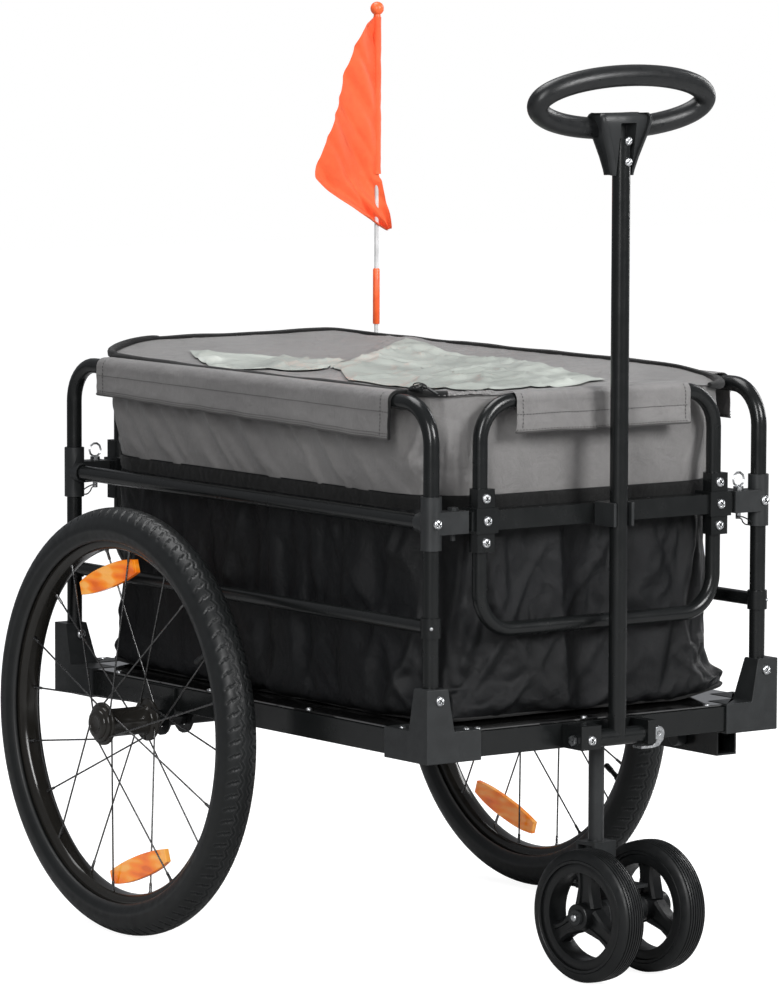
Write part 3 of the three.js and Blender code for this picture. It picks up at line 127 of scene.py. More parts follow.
def quads(rows, columns, around=True, closed=False):
    """Faces of a grid; around joins the ends of a row, closed joins the last row to the first."""
    return [(i * columns + j, i * columns + (j + 1) % columns,
             (i + 1) % rows * columns + (j + 1) % columns, (i + 1) % rows * columns + j)
            for i in range(rows if closed else rows - 1)
            for j in range(columns if around else columns - 1)]


def turned_over(faces):
    return [(a, d, c, b) for a, b, c, d in faces]


def skin(name, rings, caps=True, weld=None):
    """A surface through rings of points of one count, its normals outward."""
    bm = bmesh.new()
    rings = [[bm.verts.new(p) for p in ring] for ring in rings]
    for a, b in zip(rings, rings[1:]):
        for j in range(len(a)):
            k = (j + 1) % len(a)
            bm.faces.new((a[j], a[k], b[k], b[j]))
    if caps:
        bm.faces.new(rings[0][::-1])
        bm.faces.new(rings[-1])
    if weld:
        bmesh.ops.remove_doubles(bm, verts=bm.verts, dist=weld)
    bmesh.ops.recalc_face_normals(bm, faces=bm.faces)
    obj = from_bmesh(name, bm)
    smooth_faces(obj.data)
    return obj


def fillet(corners, radius, steps=10):
    """The corners of a path rounded by arcs of one radius."""
    path = [corners[0].copy()]
    for before, corner, after in zip(corners, corners[1:], corners[2:]):
        back = (before - corner).normalized()
        ahead = (after - corner).normalized()
        half = back.angle(ahead) / 2
        centre = corner + (back + ahead).normalized() * radius / math.sin(half)
        start = corner + back * radius / math.tan(half) - centre
        end = corner + ahead * radius / math.tan(half) - centre
        for i in range(steps + 1):
            path.append(centre + start.slerp(end, i / steps, start).normalized() * radius)
    path.append(corners[-1].copy())
    return path


def spread(path, step):
    """The same path with extra points along its straight runs."""
    points = [path[0]]
    for a, b in zip(path, path[1:]):
        count = max(1, round((b - a).length / step))
        points += [a.lerp(b, (i + 1) / count) for i in range(count)]
    return points


def frames_along(path, closed):
    """A turning frame at each point, carried along without twist."""
    count = len(path)
    tangents = []
    for i, point in enumerate(path):
        before = path[i - 1] if i or closed else point
        after = path[(i + 1) % count] if i < count - 1 or closed else point
        tangents.append((after - before).normalized())
    side = tangents[0].orthogonal().normalized()
    result = []
    for tangent in tangents:
        side = (side - tangent * side.dot(tangent)).normalized()
        result.append((side, tangent.cross(side)))
    return result


def tube_mesh(path, radius, sides, closed=False, flat=1.0):
    """Vertices and faces of a tube; radius is a number or one for each point."""
    radii = radius if hasattr(radius, "__len__") else [radius] * len(path)
    vertices = []
    for point, (u, v), r in zip(path, frames_along(path, closed), radii):
        for j in range(sides):
            a = math.tau * j / sides
            vertices.append(point + u * r * math.cos(a) + v * r * flat * math.sin(a))
    faces = quads(len(path), sides, closed=closed)
    if not closed:
        faces.append(tuple(reversed(range(sides))))
        faces.append(tuple((len(path) - 1) * sides + j for j in range(sides)))
    return vertices, faces


def tube(name, path, radius, sides, closed=False, flat=1.0):
    obj = new_object(name, *tube_mesh(path, radius, sides, closed, flat))
    if not closed:
        sharp_edges(obj, 50)
    return obj


X_WAY, Y_WAY, Z_WAY = Vector((1, 0, 0)), Vector((0, 1, 0)), Vector((0, 0, 1))
X_AXES, Z_AXES = (X_WAY, Y_WAY, Z_WAY), (Z_WAY, X_WAY, Y_WAY)


def lathe(name, profile, centre, axes, steps, sharp):
    """Turns a profile of (radius, place along the axis) round an axis; radius 0 closes it."""
    along, u, v = axes
    turns = [math.tau * i / steps for i in range(steps)]
    bm = bmesh.new()
    rings = []
    for radius, place in profile:
        base = centre + along * place
        rings.append([bm.verts.new(base + u * radius * math.cos(a) + v * radius * math.sin(a))
                      for a in (turns if radius > 0 else turns[:1])])
    for a, b in zip(rings, rings[1:]):
        for i in range(steps):
            k = (i + 1) % steps
            corners = [a[i % len(a)], a[k % len(a)], b[k % len(b)], b[i % len(b)]]
            unique = list(dict.fromkeys(corners))
            if len(unique) > 2:
                bm.faces.new(unique)
    bmesh.ops.recalc_face_normals(bm, faces=bm.faces)
    obj = from_bmesh(name, bm)
    smooth_faces(obj.data)
    sharp_edges(obj, sharp)
    return obj


def modifier(obj, kind, name, **settings):
    m = obj.modifiers.new(name, kind)
    for key, value in settings.items():
        setattr(m, key, value)
    return m


def bevelled(obj, width, segments, angle):
    modifier(obj, "BEVEL", "edges", width=width, segments=segments, limit_method="ANGLE",
             angle_limit=math.radians(angle), harden_normals=True)


def subdivided(obj, thickness=None, offset=0):
    """Rounds a cloth by one subdivision, over its thickness where one is given."""
    if thickness:
        modifier(obj, "SOLIDIFY", "cloth", thickness=thickness, offset=offset)
    modifier(obj, "SUBSURF", "smooth", levels=1, render_levels=1)


def paint(obj, material):
    obj.data.materials.clear()
    obj.data.materials.append(material)


def finish(obj, material, body, slot, *replaced):
    paint(obj, material)
    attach(obj, body)
    if replaced:
        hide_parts(*replaced)
    return obj


def joined(name, objects):
    """One object made of several; materials are kept."""
    bm = bmesh.new()
    materials = []
    for obj in objects:
        base = len(bm.faces)
        bm.from_mesh(obj.data)
        bm.faces.ensure_lookup_table()
        slots = list(obj.data.materials) or [None]
        for material in slots:
            if material not in materials:
                materials.append(material)
        for face in bm.faces[base:]:
            face.material_index = materials.index(slots[min(face.material_index, len(slots) - 1)])
    result = from_bmesh(name, bm)
    for material in materials:
        result.data.materials.append(material)
    for obj in objects:
        bpy.data.objects.remove(obj)
    return result


# Materials
class Surface:
    """A principled material whose nodes are added one by one."""

    def __init__(self, name, **sockets):
        self.material = bpy.data.materials.new(name)
        self.material.use_nodes = True
        self.nodes = self.material.node_tree.nodes
        self.nodes.clear()
        self.shader = self.node("ShaderNodeBsdfPrincipled")
        self.output = self.node("ShaderNodeOutputMaterial")
        self.link(self.shader.outputs["BSDF"], self.output.inputs["Surface"])
        self.put(self.shader, **sockets)
        self.place = self.node("ShaderNodeTexCoord").outputs["Object"]

    def node(self, kind, **settings):
        node = self.nodes.new(kind)
        for key, value in settings.items():
            setattr(node, key, value)
        return node

    def link(self, a, b):
        self.material.node_tree.links.new(a, b)

    def put(self, node, **sockets):
        """Sets a node's inputs: sockets are linked, values are written."""
        for key, value in sockets.items():
            socket = node.inputs[key.replace("_", " ")]
            if isinstance(value, bpy.types.NodeSocket):
                self.link(value, socket)
            else:
                socket.default_value = value
        return node

    def mapped(self, scale):
        node = self.node("ShaderNodeMapping")
        return self.put(node, Vector=self.place, Scale=scale).outputs["Vector"]

    def noise(self, scale, detail=3.0, roughness=0.5, vector=None, distortion=0.0):
        node = self.node("ShaderNodeTexNoise")
        self.put(node, Vector=vector or self.place, Scale=scale, Detail=detail, Roughness=roughness,
                 Distortion=distortion)
        return node.outputs["Fac"]

    def cells(self, scale):
        node = self.node("ShaderNodeTexVoronoi")
        return self.put(node, Vector=self.place, Scale=scale).outputs["Distance"]

    def wave(self, scale, direction, distortion=0.0):
        node = self.node("ShaderNodeTexWave", bands_direction=direction)
        return self.put(node, Vector=self.place, Scale=scale, Distortion=distortion).outputs["Fac"]

    def math(self, operation, a, b=0.0, c=0.0):
        node = self.node("ShaderNodeMath", operation=operation)
        for socket, value in zip(node.inputs, (a, b, c)):
            if isinstance(value, bpy.types.NodeSocket):
                self.link(value, socket)
            else:
                socket.default_value = value
        return node.outputs[0]

    def ramp(self, factor, stops):
        node = self.node("ShaderNodeValToRGB")
        self.link(factor, node.inputs["Fac"])
        elements = node.color_ramp.elements
        while len(elements) < len(stops):
            elements.new(0.5)
        for element, (place, colour) in zip(elements, stops):
            element.position = place
            element.color = colour if hasattr(colour, "__len__") else (colour, colour, colour, 1)
        return node.outputs["Color"]

    def bump(self, height, distance, strength, before=None):
        node = self.node("ShaderNodeBump")
        self.put(node, Height=height, Distance=distance, Strength=strength)
        if before is not None:
            self.link(before, node.inputs["Normal"])
        return node.outputs["Normal"]

    def built(self, colour, normal, roughness=None):
        """Joins the colour, the bumps and the roughness to the shader, and gives the material."""
        self.put(self.shader, Base_Color=colour, Normal=normal)
        if roughness is not None:
            self.put(self.shader, Roughness=roughness)
        return self.material


def grey(value):
    return (value, value, value, 1)


def tint(r, g, b):
    return (r, g, b, 1)


def scaled(base, factor):
    return tint(*[c * factor for c in base])


def about(rough, below, above):
    return [(0.3, rough - below), (0.7, rough + above)]


def simple(name, cloud, tones, grain, rough=None, **sockets):
    """Clouded tones over fine grain. The cloud is a noise's settings, grain the same with the bump's
    distance and strength, and rough the same with the stops of a roughness that wanders."""
    s = Surface(name, **sockets)
    grain_noise, *bump = grain
    return s.built(s.ramp(s.noise(*cloud), tones), s.bump(s.noise(*grain_noise), *bump),
                   s.ramp(s.noise(*rough[0]), rough[1]) if rough else None)


def powder_coat(name, base, lift, rough):
    """Black enamel: slight orange peel, a little dust, roughness that wanders."""
    return simple(name, (38, 4, 0.6), [(0.35, tint(*base)), (0.75, tint(*[c + lift for c in base]))],
                  ((700, 1), 0.00002, 0.35), ((60, 2), about(rough, 0.03, 0.04)),
                  Roughness=rough, Specular_IOR_Level=0.35)


def moulded_plastic(name, base, rough):
    s = Surface(name, Roughness=rough, Specular_IOR_Level=0.35)
    return s.built(s.ramp(s.noise(60, 4, 0.6), [(0.3, tint(*base)), (0.8, scaled(base, 1.5))]),
                   s.bump(s.cells(2400), 0.00005, 0.6),
                   s.ramp(s.noise(140, 3), about(rough, 0.06, 0.08)))


def rubber(name, base, rough, edge_highlight=0.0, spec=0.35):
    """Black rubber, with a painted highlight: its raised edges are lightened by the given amount."""
    s = Surface(name, Roughness=rough, Specular_IOR_Level=spec)
    cloud = s.ramp(s.noise(50, 5, 0.65), [(0.35, tint(*base)), (0.75, scaled(base, 1.7))])
    # Painted highlight: pointiness lightens the raised edges of the tread.
    if edge_highlight:
        pointed = s.node("ShaderNodeNewGeometry").outputs["Pointiness"]
        add = s.node("ShaderNodeMix", data_type="RGBA", blend_type="ADD")
        add.inputs["Factor"].default_value = 1.0
        s.link(cloud, add.inputs[6])
        s.link(s.ramp(pointed, [(0.50, 0.0), (0.60, edge_highlight)]), add.inputs[7])
        cloud = add.outputs[2]
    return s.built(cloud, s.bump(s.noise(1500, 3), 0.00008, 0.6),
                   s.ramp(s.noise(120, 3), about(rough, 0.08, 0.1)))


def amber():
    """Moulded reflector: a clear orange face with painted glints on soft, uneven facets, and a painted glow
    from a weak orange emission.
    """
    # Painted glow: the orange emission makes the lens shine though it is no lamp.
    s = Surface("amber_lens", Roughness=0.12, Coat_Weight=0.8, Coat_Roughness=0.03,
                Emission_Color=tint(1.0, 0.17, 0.003), Emission_Strength=0.26)
    facets = s.noise(46, 1, 0.4, s.mapped((1.0, 0.55, 1.0)))
    prisms = s.wave(30, "Z", distortion=2.5)
    # Painted glints: the colour is lighter where the facets and prisms peak.
    light = s.math("MULTIPLY_ADD", prisms, 0.10, s.math("MULTIPLY", facets, 0.95))
    return s.built(s.ramp(light, [(0.34, tint(0.70, 0.115, 0.003)), (0.47, tint(0.93, 0.22, 0.005)),
                                  (0.58, tint(1.0, 0.34, 0.014)), (0.68, tint(1.0, 0.56, 0.12))]),
                   s.bump(s.math("ADD", prisms, facets), 0.0006, 0.4))


def woven(name, dark, pale, weave, rough, sheen, crease=0.5, spec=0.3):
    """Plain-woven cloth: crossing threads, cloudy colour, small creases."""
    s = Surface(name, Roughness=rough, Specular_IOR_Level=spec, Sheen_Weight=sheen, Sheen_Roughness=0.5)
    warp, across, upright = (s.wave(weave, way) for way in "XYZ")
    threads = s.math("MULTIPLY", s.math("ADD", warp, across), s.math("ADD", upright, 0.3))
    mix = s.math("MULTIPLY_ADD", s.noise(160, 3), 0.35, s.noise(9, 5, 0.6))
    soft = s.bump(s.noise(34, 4, 0.6, distortion=0.6), 0.0025, crease)
    return s.built(s.ramp(mix, [(0.45, tint(*dark)), (0.9, tint(*pale))]),
                   s.bump(threads, 0.00012, 0.55, soft),
                   s.ramp(s.noise(40, 3), about(rough, 0.06, 0.08)))


def clear_sheet():
    """Clear plastic film gone milky: pale green-grey with streaked glints and creases."""
    s = Surface("clear_film", Roughness=0.34, Specular_IOR_Level=0.4, Coat_Weight=0.15, Coat_Roughness=0.25)
    streaks = s.noise(4, 2, 0.5, s.mapped((1.0, 3.4, 1.0)), 0.6)
    cloud = s.noise(14, 2, 0.5, distortion=0.4)
    mix = s.math("MULTIPLY_ADD", cloud, 0.22, streaks)
    fine = s.bump(s.noise(40, 2, distortion=1.0), 0.0003, 0.3)
    return s.built(s.ramp(mix, [(0.42, tint(0.28, 0.300, 0.275)), (0.58, tint(0.36, 0.383, 0.352)),
                                (0.72, tint(0.43, 0.456, 0.420)), (0.86, tint(0.56, 0.588, 0.545))]),
                   s.bump(streaks, 0.002, 0.3, fine),
                   s.ramp(cloud, [(0.35, 0.30), (0.7, 0.42)]))


FRAME_PAINT = powder_coat("frame_paint", (0.0062, 0.0070, 0.0071), 0.0018, 0.24)
WHEEL_PAINT = powder_coat("wheel_paint", (0.0165, 0.0152, 0.0130), 0.0040, 0.14)
BRACKET = moulded_plastic("bracket_plastic", (0.016, 0.0172, 0.0178), 0.40)
GRIP = moulded_plastic("grip_foam", (0.010, 0.0106, 0.011), 0.33)
CASTER_CORE = moulded_plastic("caster_core", (0.0058, 0.0063, 0.0065), 0.34)
FLOOR_BOARD = simple("floor_board", (14, 3), [(0.3, 0.008), (0.8, 0.016)], ((18, 2), 0.0004, 0.25),
                     ((30, 5, 0.7), [(0.35, 0.05), (0.75, 0.12)]),
                     Roughness=0.12, Specular_IOR_Level=0.9, Coat_Weight=1.0, Coat_Roughness=0.06)
ZINC = simple("zinc_steel", (300, 3), [(0.3, tint(0.42, 0.43, 0.44)), (0.7, tint(0.66, 0.67, 0.68))],
              ((700, 2), 0.00005, 0.5), ((500, 2), [(0.3, 0.22), (0.7, 0.4)]), Metallic=1.0, Roughness=0.3)
SPOKE_STEEL = simple("spoke_steel", (260, 3), [(0.3, 0.095), (0.7, 0.17)], ((700, 2), 0.00004, 0.4),
                     ((420, 2), [(0.3, 0.20), (0.7, 0.34)]), Metallic=1.0, Roughness=0.26)
PALE_ROD = simple("flag_rod", (80, 3), [(0.3, 0.62), (0.7, 0.8)], ((300, 2), 0.0001, 0.3),
                  Roughness=0.3, Transmission_Weight=0.15)
ORANGE = simple("orange_plastic", (70, 3), [(0.3, tint(0.86, 0.1, 0.02)), (0.7, tint(0.94, 0.15, 0.04))],
                ((600, 2), 0.00006, 0.4), Roughness=0.35)
# The tyre's raised edges carry a painted highlight.
TYRE = rubber("tyre_rubber", (0.0042, 0.0050, 0.0052), 0.40, edge_highlight=0.07, spec=0.3)
CASTER_RUBBER = rubber("caster_rubber", (0.0062, 0.0068, 0.0070), 0.40)
AMBER = amber()
CLEAR_SHEET = clear_sheet()
LINER_CLOTH = woven("black_cloth", (0.0022, 0.0025, 0.0028), (0.0046, 0.0050, 0.0060), 900, 0.44, 0.0,
                    crease=1.0, spec=0.26)
GREY_CLOTH = woven("grey_cloth", (0.128, 0.123, 0.121), (0.182, 0.176, 0.172), 1100, 0.44, 0.12,
                   crease=1.0, spec=0.7)
FUZZ = woven("hook_band", (0.0020, 0.0020, 0.0020), (0.006, 0.006, 0.006), 1900, 0.9, 0.06, crease=1.0)
THREAD = woven("thread", (0.045, 0.044, 0.043), (0.075, 0.073, 0.072), 2500, 0.8, 0.1, crease=0.1)
DARK_EDGE = woven("folded_edge", (0.055, 0.053, 0.052), (0.09, 0.087, 0.085), 1500, 0.75, 0.1)
BINDING = woven("black_binding", (0.0035, 0.0035, 0.0035), (0.009, 0.009, 0.009), 1300, 0.75, 0.08)
FLAG_CLOTH = woven("flag_cloth", (0.86, 0.105, 0.03), (0.98, 0.16, 0.05), 1500, 0.55, 0.1, crease=0.3)


# CAD pieces whose shape is right: the facets are welded and shaded smooth, the edges rounded.
def dress(node, material, width):
    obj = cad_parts[node]
    mesh = obj.data
    for name in [a.name for a in mesh.attributes if a.name == "custom_normal"]:
        mesh.attributes.remove(mesh.attributes[name])
    smooth_faces(mesh)
    paint(obj, material)
    modifier(obj, "WELD", "weld", merge_threshold=0.00001)
    modifier(obj, "DECIMATE", "planar", decimate_type="DISSOLVE", angle_limit=math.radians(1.0))
    bevelled(obj, width, 2, 42)


ENDS, SIDES = (("front", -1), ("rear", 1)), (("left", -1), ("right", 1))
CORNERS = [f"{end}_{side}" for end, _ in ENDS for side, _ in SIDES]
CAD_FINISH = {
    FRAME_PAINT: ["axle", "handle_bracket", "tow_receiver"]
    + [f"{end}_{part}" for end, _ in ENDS for part in ("beam", "gate_bar")]
    + [f"{side}_{part}" for side, _ in SIDES
       for part in ("side_beam", "axle_saddle", "lower_rail", "upper_rail")],
    BRACKET: ["pole_clip", "receiver_lock_knob", "caster_fork", "flag_holder"]
    + [f"{corner}_{part}" for corner in CORNERS for part in ("corner_bracket", "tee_collar")],
    FLOOR_BOARD: ["floor_panel"],
    ZINC: ["handle_pivot_bolt", "pivot_cam_lever"] + [f"{end}_gate_quick_pin" for end, _ in ENDS],
}
MOULDED_EDGE, METAL_EDGE = 0.0011, 0.0006
for finish_material, nodes in CAD_FINISH.items():
    for cad_node in nodes:
        dress(cad_node, finish_material, MOULDED_EDGE if finish_material is BRACKET else METAL_EDGE)


# Bent tubes, drawn on the model's own centre lines with round sections.
def bent_tube(name, corners, bend, radius, node):
    piece = tube(name, spread(fillet(corners, bend), 0.03), radius, 24)
    finish(piece, FRAME_PAINT, "frame", "frame_paint", node)


for side, sign in SIDES:
    x = sign * POST_X
    foot = low(f"{side}_arch").z
    bent_tube(f"{side}_arch_tube", [at(x, -POST_Y, foot), at(x, -POST_Y, ARCH_RAIL_Z),
                                    at(x, POST_Y, ARCH_RAIL_Z), at(x, POST_Y, foot)],
              ARCH_BEND, TUBE, f"{side}_arch")

for end, sign in ENDS:
    for part, leg, rail in (("upper", low(f"{end}_gate_upper_loop").z, ARCH_RAIL_Z),
                            ("lower", high(f"{end}_gate_lower_loop").z, GATE_LOW_Z)):
        y = sign * POST_Y
        bent_tube(f"{end}_gate_{part}_tube", [at(-GATE_X, y, leg), at(-GATE_X, y, rail),
                                              at(GATE_X, y, rail), at(GATE_X, y, leg)],
                  GATE_BEND, GATE_TUBE, f"{end}_gate_{part}_loop")

# Pull handle: pole, pivot tube, and the oval grip.
POLE_R, PIVOT_TUBE_R = 0.01025, 0.01
GRIP_LEAN = math.radians(34)
GRIP_HALF_WIDTH, GRIP_HALF_HEIGHT, GRIP_TUBE = 0.117, 0.036, 0.012
pole_low, pole_high = box("handle_pole")
pole = joined("handle_pole_tube", [
    tube("pole_part", [PIVOT, Vector((0, PIVOT.y, pole_high.z))], POLE_R, 32),
    tube("pivot_part", [Vector((x, PIVOT.y, PIVOT.z)) for x in (pole_low.x, pole_high.x)],
         PIVOT_TUBE_R, 32)])
sharp_edges(pole, 50)
finish(pole, FRAME_PAINT, "handle", "frame_paint", "handle_pole")

grip_centre = middle("grip_ring")
grip_up = Vector((0, -math.sin(GRIP_LEAN), math.cos(GRIP_LEAN)))
grip_path = [grip_centre + Vector((GRIP_HALF_WIDTH * math.cos(math.tau * i / 96), 0, 0))
             + grip_up * GRIP_HALF_HEIGHT * math.sin(math.tau * i / 96) for i in range(96)]
finish(tube("grip_loop", grip_path, GRIP_TUBE, 28, closed=True), GRIP, "handle", "grip_foam", "grip_ring")

# Grip boss: two tapering cheeks either side of the pole, under a lip that holds the loop.
boss_low, boss_high = box("grip_boss")
BOSS_FRONT, BOSS_BACK = boss_low.y + 0.003, boss_high.y
BOSS_CHANNEL = 0.0108
BOSS_SHELF, BOSS_SHOULDER = 0.058, 0.0640
BOSS_CORNER = 0.0062
BOSS_ROWS = [(0.0, 0.0152), (0.006, 0.0172), (0.020, 0.0216), (0.036, 0.0276), (0.048, 0.0322),
             (BOSS_SHELF, 0.0352), (BOSS_SHOULDER, 0.0362), (0.0672, 0.0352), (0.0690, 0.0328)]


def boss_ring(rise, half, channel):
    """The boss's section at a height; with the channel it wraps the pole, without it it closes."""
    slope = 0.0085 * (1 - min(1.0, rise / 0.056))
    crown = max(0.0, rise - BOSS_SHOULDER) * 0.6
    nose, back = BOSS_FRONT + slope + crown, BOSS_BACK - 0.7 * slope - crown
    corner = min(BOSS_CORNER, (half - BOSS_CHANNEL) * 0.9)
    arc = [(corner * (1 - math.sin(a)), corner * (1 - math.cos(a)))
           for a in (math.pi / 2 * i / 5 for i in range(6))]
    side = [(-half + dx, nose + dy) for dx, dy in reversed(arc)]
    side += [(-half + dx, back - dy) for dx, dy in arc]
    mirrored = [(-x, y) for x, y in reversed(side)]
    shelf = PIVOT.y + 0.004 if channel else nose
    mouth = [(BOSS_CHANNEL, nose), (BOSS_CHANNEL, shelf), (-BOSS_CHANNEL, shelf), (-BOSS_CHANNEL, nose)]
    return [(x, y, boss_low.z + rise) for x, y in mouth[3:] + side + mirrored + mouth[:3]]


boss = skin("grip_boss_shell", [
    boss_ring(rise, half, channel) for rise, half in BOSS_ROWS
    for channel in ((True, False) if rise == BOSS_SHELF else (rise < BOSS_SHELF,))], weld=1e-6)
bevelled(boss, 0.0010, 3, 40)
finish(boss, BRACKET, "handle", "bracket_plastic", "grip_boss")

# Road wheels: treaded tyres, rims, laced hubs, valves and reflectors.
RIM_R, RIM_IN, RIM_WELL, RIM_HALF = 0.214, 0.202, 0.2055, 0.0125
TYRE_HALF, TYRE_CENTRE_R, TYRE_TALL = 0.0235, 0.2272, 0.0228
TREAD_RUN = 0.0225
TREAD_PERIODS = 98
TREAD_DEPTH = 0.0016
TREAD_ANGLE = 1.12
ZIGZAG_PLACE, ZIGZAG_SWING = 0.0052, 0.0021
SLOT_SLANT, SIPE_SLANT = 34, 40
WALL_LINE_ANGLE, WALL_LINE_DEPTH = 1.72, 0.0006
BEAD_ANGLE = math.radians(134)
TYRE_SEAT = ((0.0127, 0.2145), (0.0098, 0.2142), (-0.0098, 0.2142), (-0.0127, 0.2145))
SPOKES = 20
SPOKE_PHASE = math.radians(5)
SPOKE_LACING = math.radians(54)
SPOKE_CIRCLE = 0.021
SPOKE_STAGGER, SPOKE_HEAD = 0.0023, 0.0028
SPOKE_RIM_X = 0.005
SPOKE_R = 0.00105
FLANGE_X, FLANGE_R = 0.031, 0.025
HUB_LENGTH = 0.033
VALVE_TURN = {"left": 150, "right": 209.7}


def tread(turn, lateral):
    """Depth share at a place on the tyre: a zigzag each side, slots, and sipes on the shoulder."""
    side = abs(lateral)
    phase = turn * TREAD_PERIODS / math.tau + (0.5 if lateral > 0 else 0.0)
    saw = abs((phase % 1.0) - 0.5) * 4 - 1
    zigzag = 0.55 * (1 - smoothstep(0.0004, 0.0010, abs(side - (ZIGZAG_PLACE + ZIGZAG_SWING * saw))))
    slot = abs(((phase - (side - 0.009) * SLOT_SLANT) % 1.0) - 0.5)
    slots = (1 - smoothstep(0.035, 0.085, slot)) * smoothstep(0.0074, 0.0086, side) * (
        1 - smoothstep(0.0135, 0.0150, side))
    sipe = abs(((phase + 0.5 - side * SIPE_SLANT) % 1.0) - 0.5)
    sipes = (1 - smoothstep(0.03, 0.07, sipe)) * smoothstep(0.0125, 0.0135, side) * 0.7
    edge = 1 - smoothstep(0.0195, 0.0225, side)
    return max(zigzag, slots, sipes) * edge


def tyre_mesh(name, centre):
    steps = TREAD_PERIODS * 12
    flat_part = 46
    angles = [-BEAD_ANGLE + (BEAD_ANGLE - TREAD_ANGLE) * j / 10 for j in range(10)]
    angles += [-TREAD_ANGLE + 2 * TREAD_ANGLE * j / flat_part for j in range(flat_part + 1)]
    angles += [-phi for phi in angles[9::-1]]
    vertices = []
    for turn in (math.tau * i / steps for i in range(steps)):
        section = []
        for phi in angles:
            sink = tread(turn, phi * TREAD_RUN) * TREAD_DEPTH if abs(phi) < TREAD_ANGLE else 0.0
            line = 1 - smoothstep(0.0, 0.045, abs(abs(phi) - WALL_LINE_ANGLE))
            sink -= line * WALL_LINE_DEPTH
            section.append(((TYRE_HALF - sink) * math.sin(phi),
                            TYRE_CENTRE_R + (TYRE_TALL - sink) * math.cos(phi)))
        vertices += [centre + Vector((x, r * math.cos(turn), r * math.sin(turn)))
                     for x, r in (*section, *TYRE_SEAT)]
    return new_object(name, vertices,
                      turned_over(quads(steps, len(angles) + len(TYRE_SEAT), closed=True)))


def and_mirrored(half, middle_part=()):
    """Half a profile, what stands between, and the half's mirror image."""
    return [*half, *middle_part, *((r, -x) for r, x in reversed(half))]


def spoke(centre, index):
    """A laced spoke with its nipple and its nail head."""
    turn = SPOKE_PHASE + math.tau * index / SPOKES
    outer = 1 if index % 2 == 0 else -1
    lead = 1 if index // 2 % 2 == 0 else -1
    lace = turn + lead * SPOKE_LACING
    rim_way = Vector((0, math.cos(turn), math.sin(turn)))
    hole = centre + Vector((0, math.cos(lace), math.sin(lace))) * SPOKE_CIRCLE
    face = hole + Vector((outer * (FLANGE_X + lead * SPOKE_STAGGER), 0, 0))
    tail = hole + Vector((outer * (FLANGE_X - lead * SPOKE_HEAD), 0, 0))
    tip = centre + rim_way * (RIM_IN - 0.0002) + Vector((outer * SPOKE_RIM_X, 0, 0))
    run = (tip - face).normalized()
    return [tube("spoke", fillet([tail, face, tip], 0.0011, 4), SPOKE_R, 8),
            tube("nipple", [tip - run * 0.012, tip - run * 0.0115, tip - run * 0.003, tip],
                 [0.0013, 0.0017, 0.0017, 0.0027], 10),
            tube("nail", [tail + Vector((outer * lead * d, 0, 0)) for d in (-0.0006, 0.0007)], 0.0019, 10)]


def wheel(side, sign):
    centre = Vector((sign * WHEEL_X, AXLE.y, AXLE.z))
    body = f"{side}_wheel"
    finish(tyre_mesh(f"{side}_tyre_tread", centre), TYRE, body, "tyre", f"{side}_tyre")
    hoop = [(RIM_IN, -0.007), (RIM_IN - 0.0007, 0.0)] + and_mirrored(
        [(RIM_IN, 0.007), (RIM_IN + 0.0018, 0.0102), (RIM_IN + 0.0045, 0.0122), (RIM_R - 0.002, RIM_HALF),
         (RIM_R + 0.0004, RIM_HALF - 0.0001), (RIM_R + 0.001, RIM_HALF - 0.0012),
         (RIM_R, RIM_HALF - 0.0026), (RIM_WELL, 0.0072)])
    rim = lathe(f"{side}_rim_hoop", hoop, centre, X_AXES, 160, 60)
    finish(rim, WHEEL_PAINT, body, "wheel_paint", f"{side}_rim")

    end, flange = HUB_LENGTH, FLANGE_R
    barrel = [(0, -end), (0.0095, -end), (0.0105, -end + 0.0006), (0.0105, -end), (flange - 0.0008, -end),
              (flange, -end + 0.0008), (flange, -end + 0.0034), (flange - 0.0008, -end + 0.0042),
              (0.0185, -end + 0.0052), (0.0165, -end + 0.0075), (0.0163, 0.0), (0.0165, end - 0.0075),
              (0.0185, end - 0.0052), (flange - 0.0008, end - 0.0042), (flange, end - 0.0034),
              (flange, end - 0.0008), (flange - 0.0008, end), (0.0212, end), (0.0210, end + 0.0022),
              (0.0200, end + 0.0036), (0.0178, end + 0.0044), (0.0160, end + 0.0044),
              (0.0155, end + 0.0036), (0.0, end + 0.0036)]
    cap = [(r, end + d) for r, d in (
        (0, 0.002), (0.0178, 0.002), (0.0176, 0.0050), (0.0166, 0.0070), (0.0145, 0.0082), (0.0118, 0.0086),
        (0.0104, 0.0085), (0.0098, 0.0076), (0.0060, 0.0071), (0, 0.0070))]
    parts = [lathe(f"{side}_hub_part", [(r, sign * x) for r, x in profile], centre, X_AXES, steps, sharp)
             for profile, steps, sharp in ((barrel, 64, 50), (cap, 40, 30))]
    for i in range(SPOKES):
        parts += spoke(centre, i)
    hub = joined(f"{side}_hub_and_spokes", parts)
    sharp_edges(hub, 50)
    finish(hub, WHEEL_PAINT, body, "wheel_paint", f"{side}_laced_hub")
    hub.data.materials.append(SPOKE_STEEL)
    for face in hub.data.polygons:
        if math.hypot(face.center.y - centre.y, face.center.z - centre.z) > flange + 0.0015:
            face.material_index = 1

    valve_turn = math.radians(VALVE_TURN[side])
    radial = Vector((0, math.cos(valve_turn), math.sin(valve_turn)))
    stem_path = [centre + radial * r for r in (0.2, 0.194, 0.1935, 0.182, 0.1815, 0.171, 0.1695)]
    stem = tube(f"{side}_valve", stem_path, [0.0042, 0.0042, 0.0032, 0.003, 0.0036, 0.0036, 0.0026], 14)
    finish(stem, CASTER_RUBBER, body, "tyre")


for wheel_side, wheel_sign in SIDES:
    wheel(wheel_side, wheel_sign)

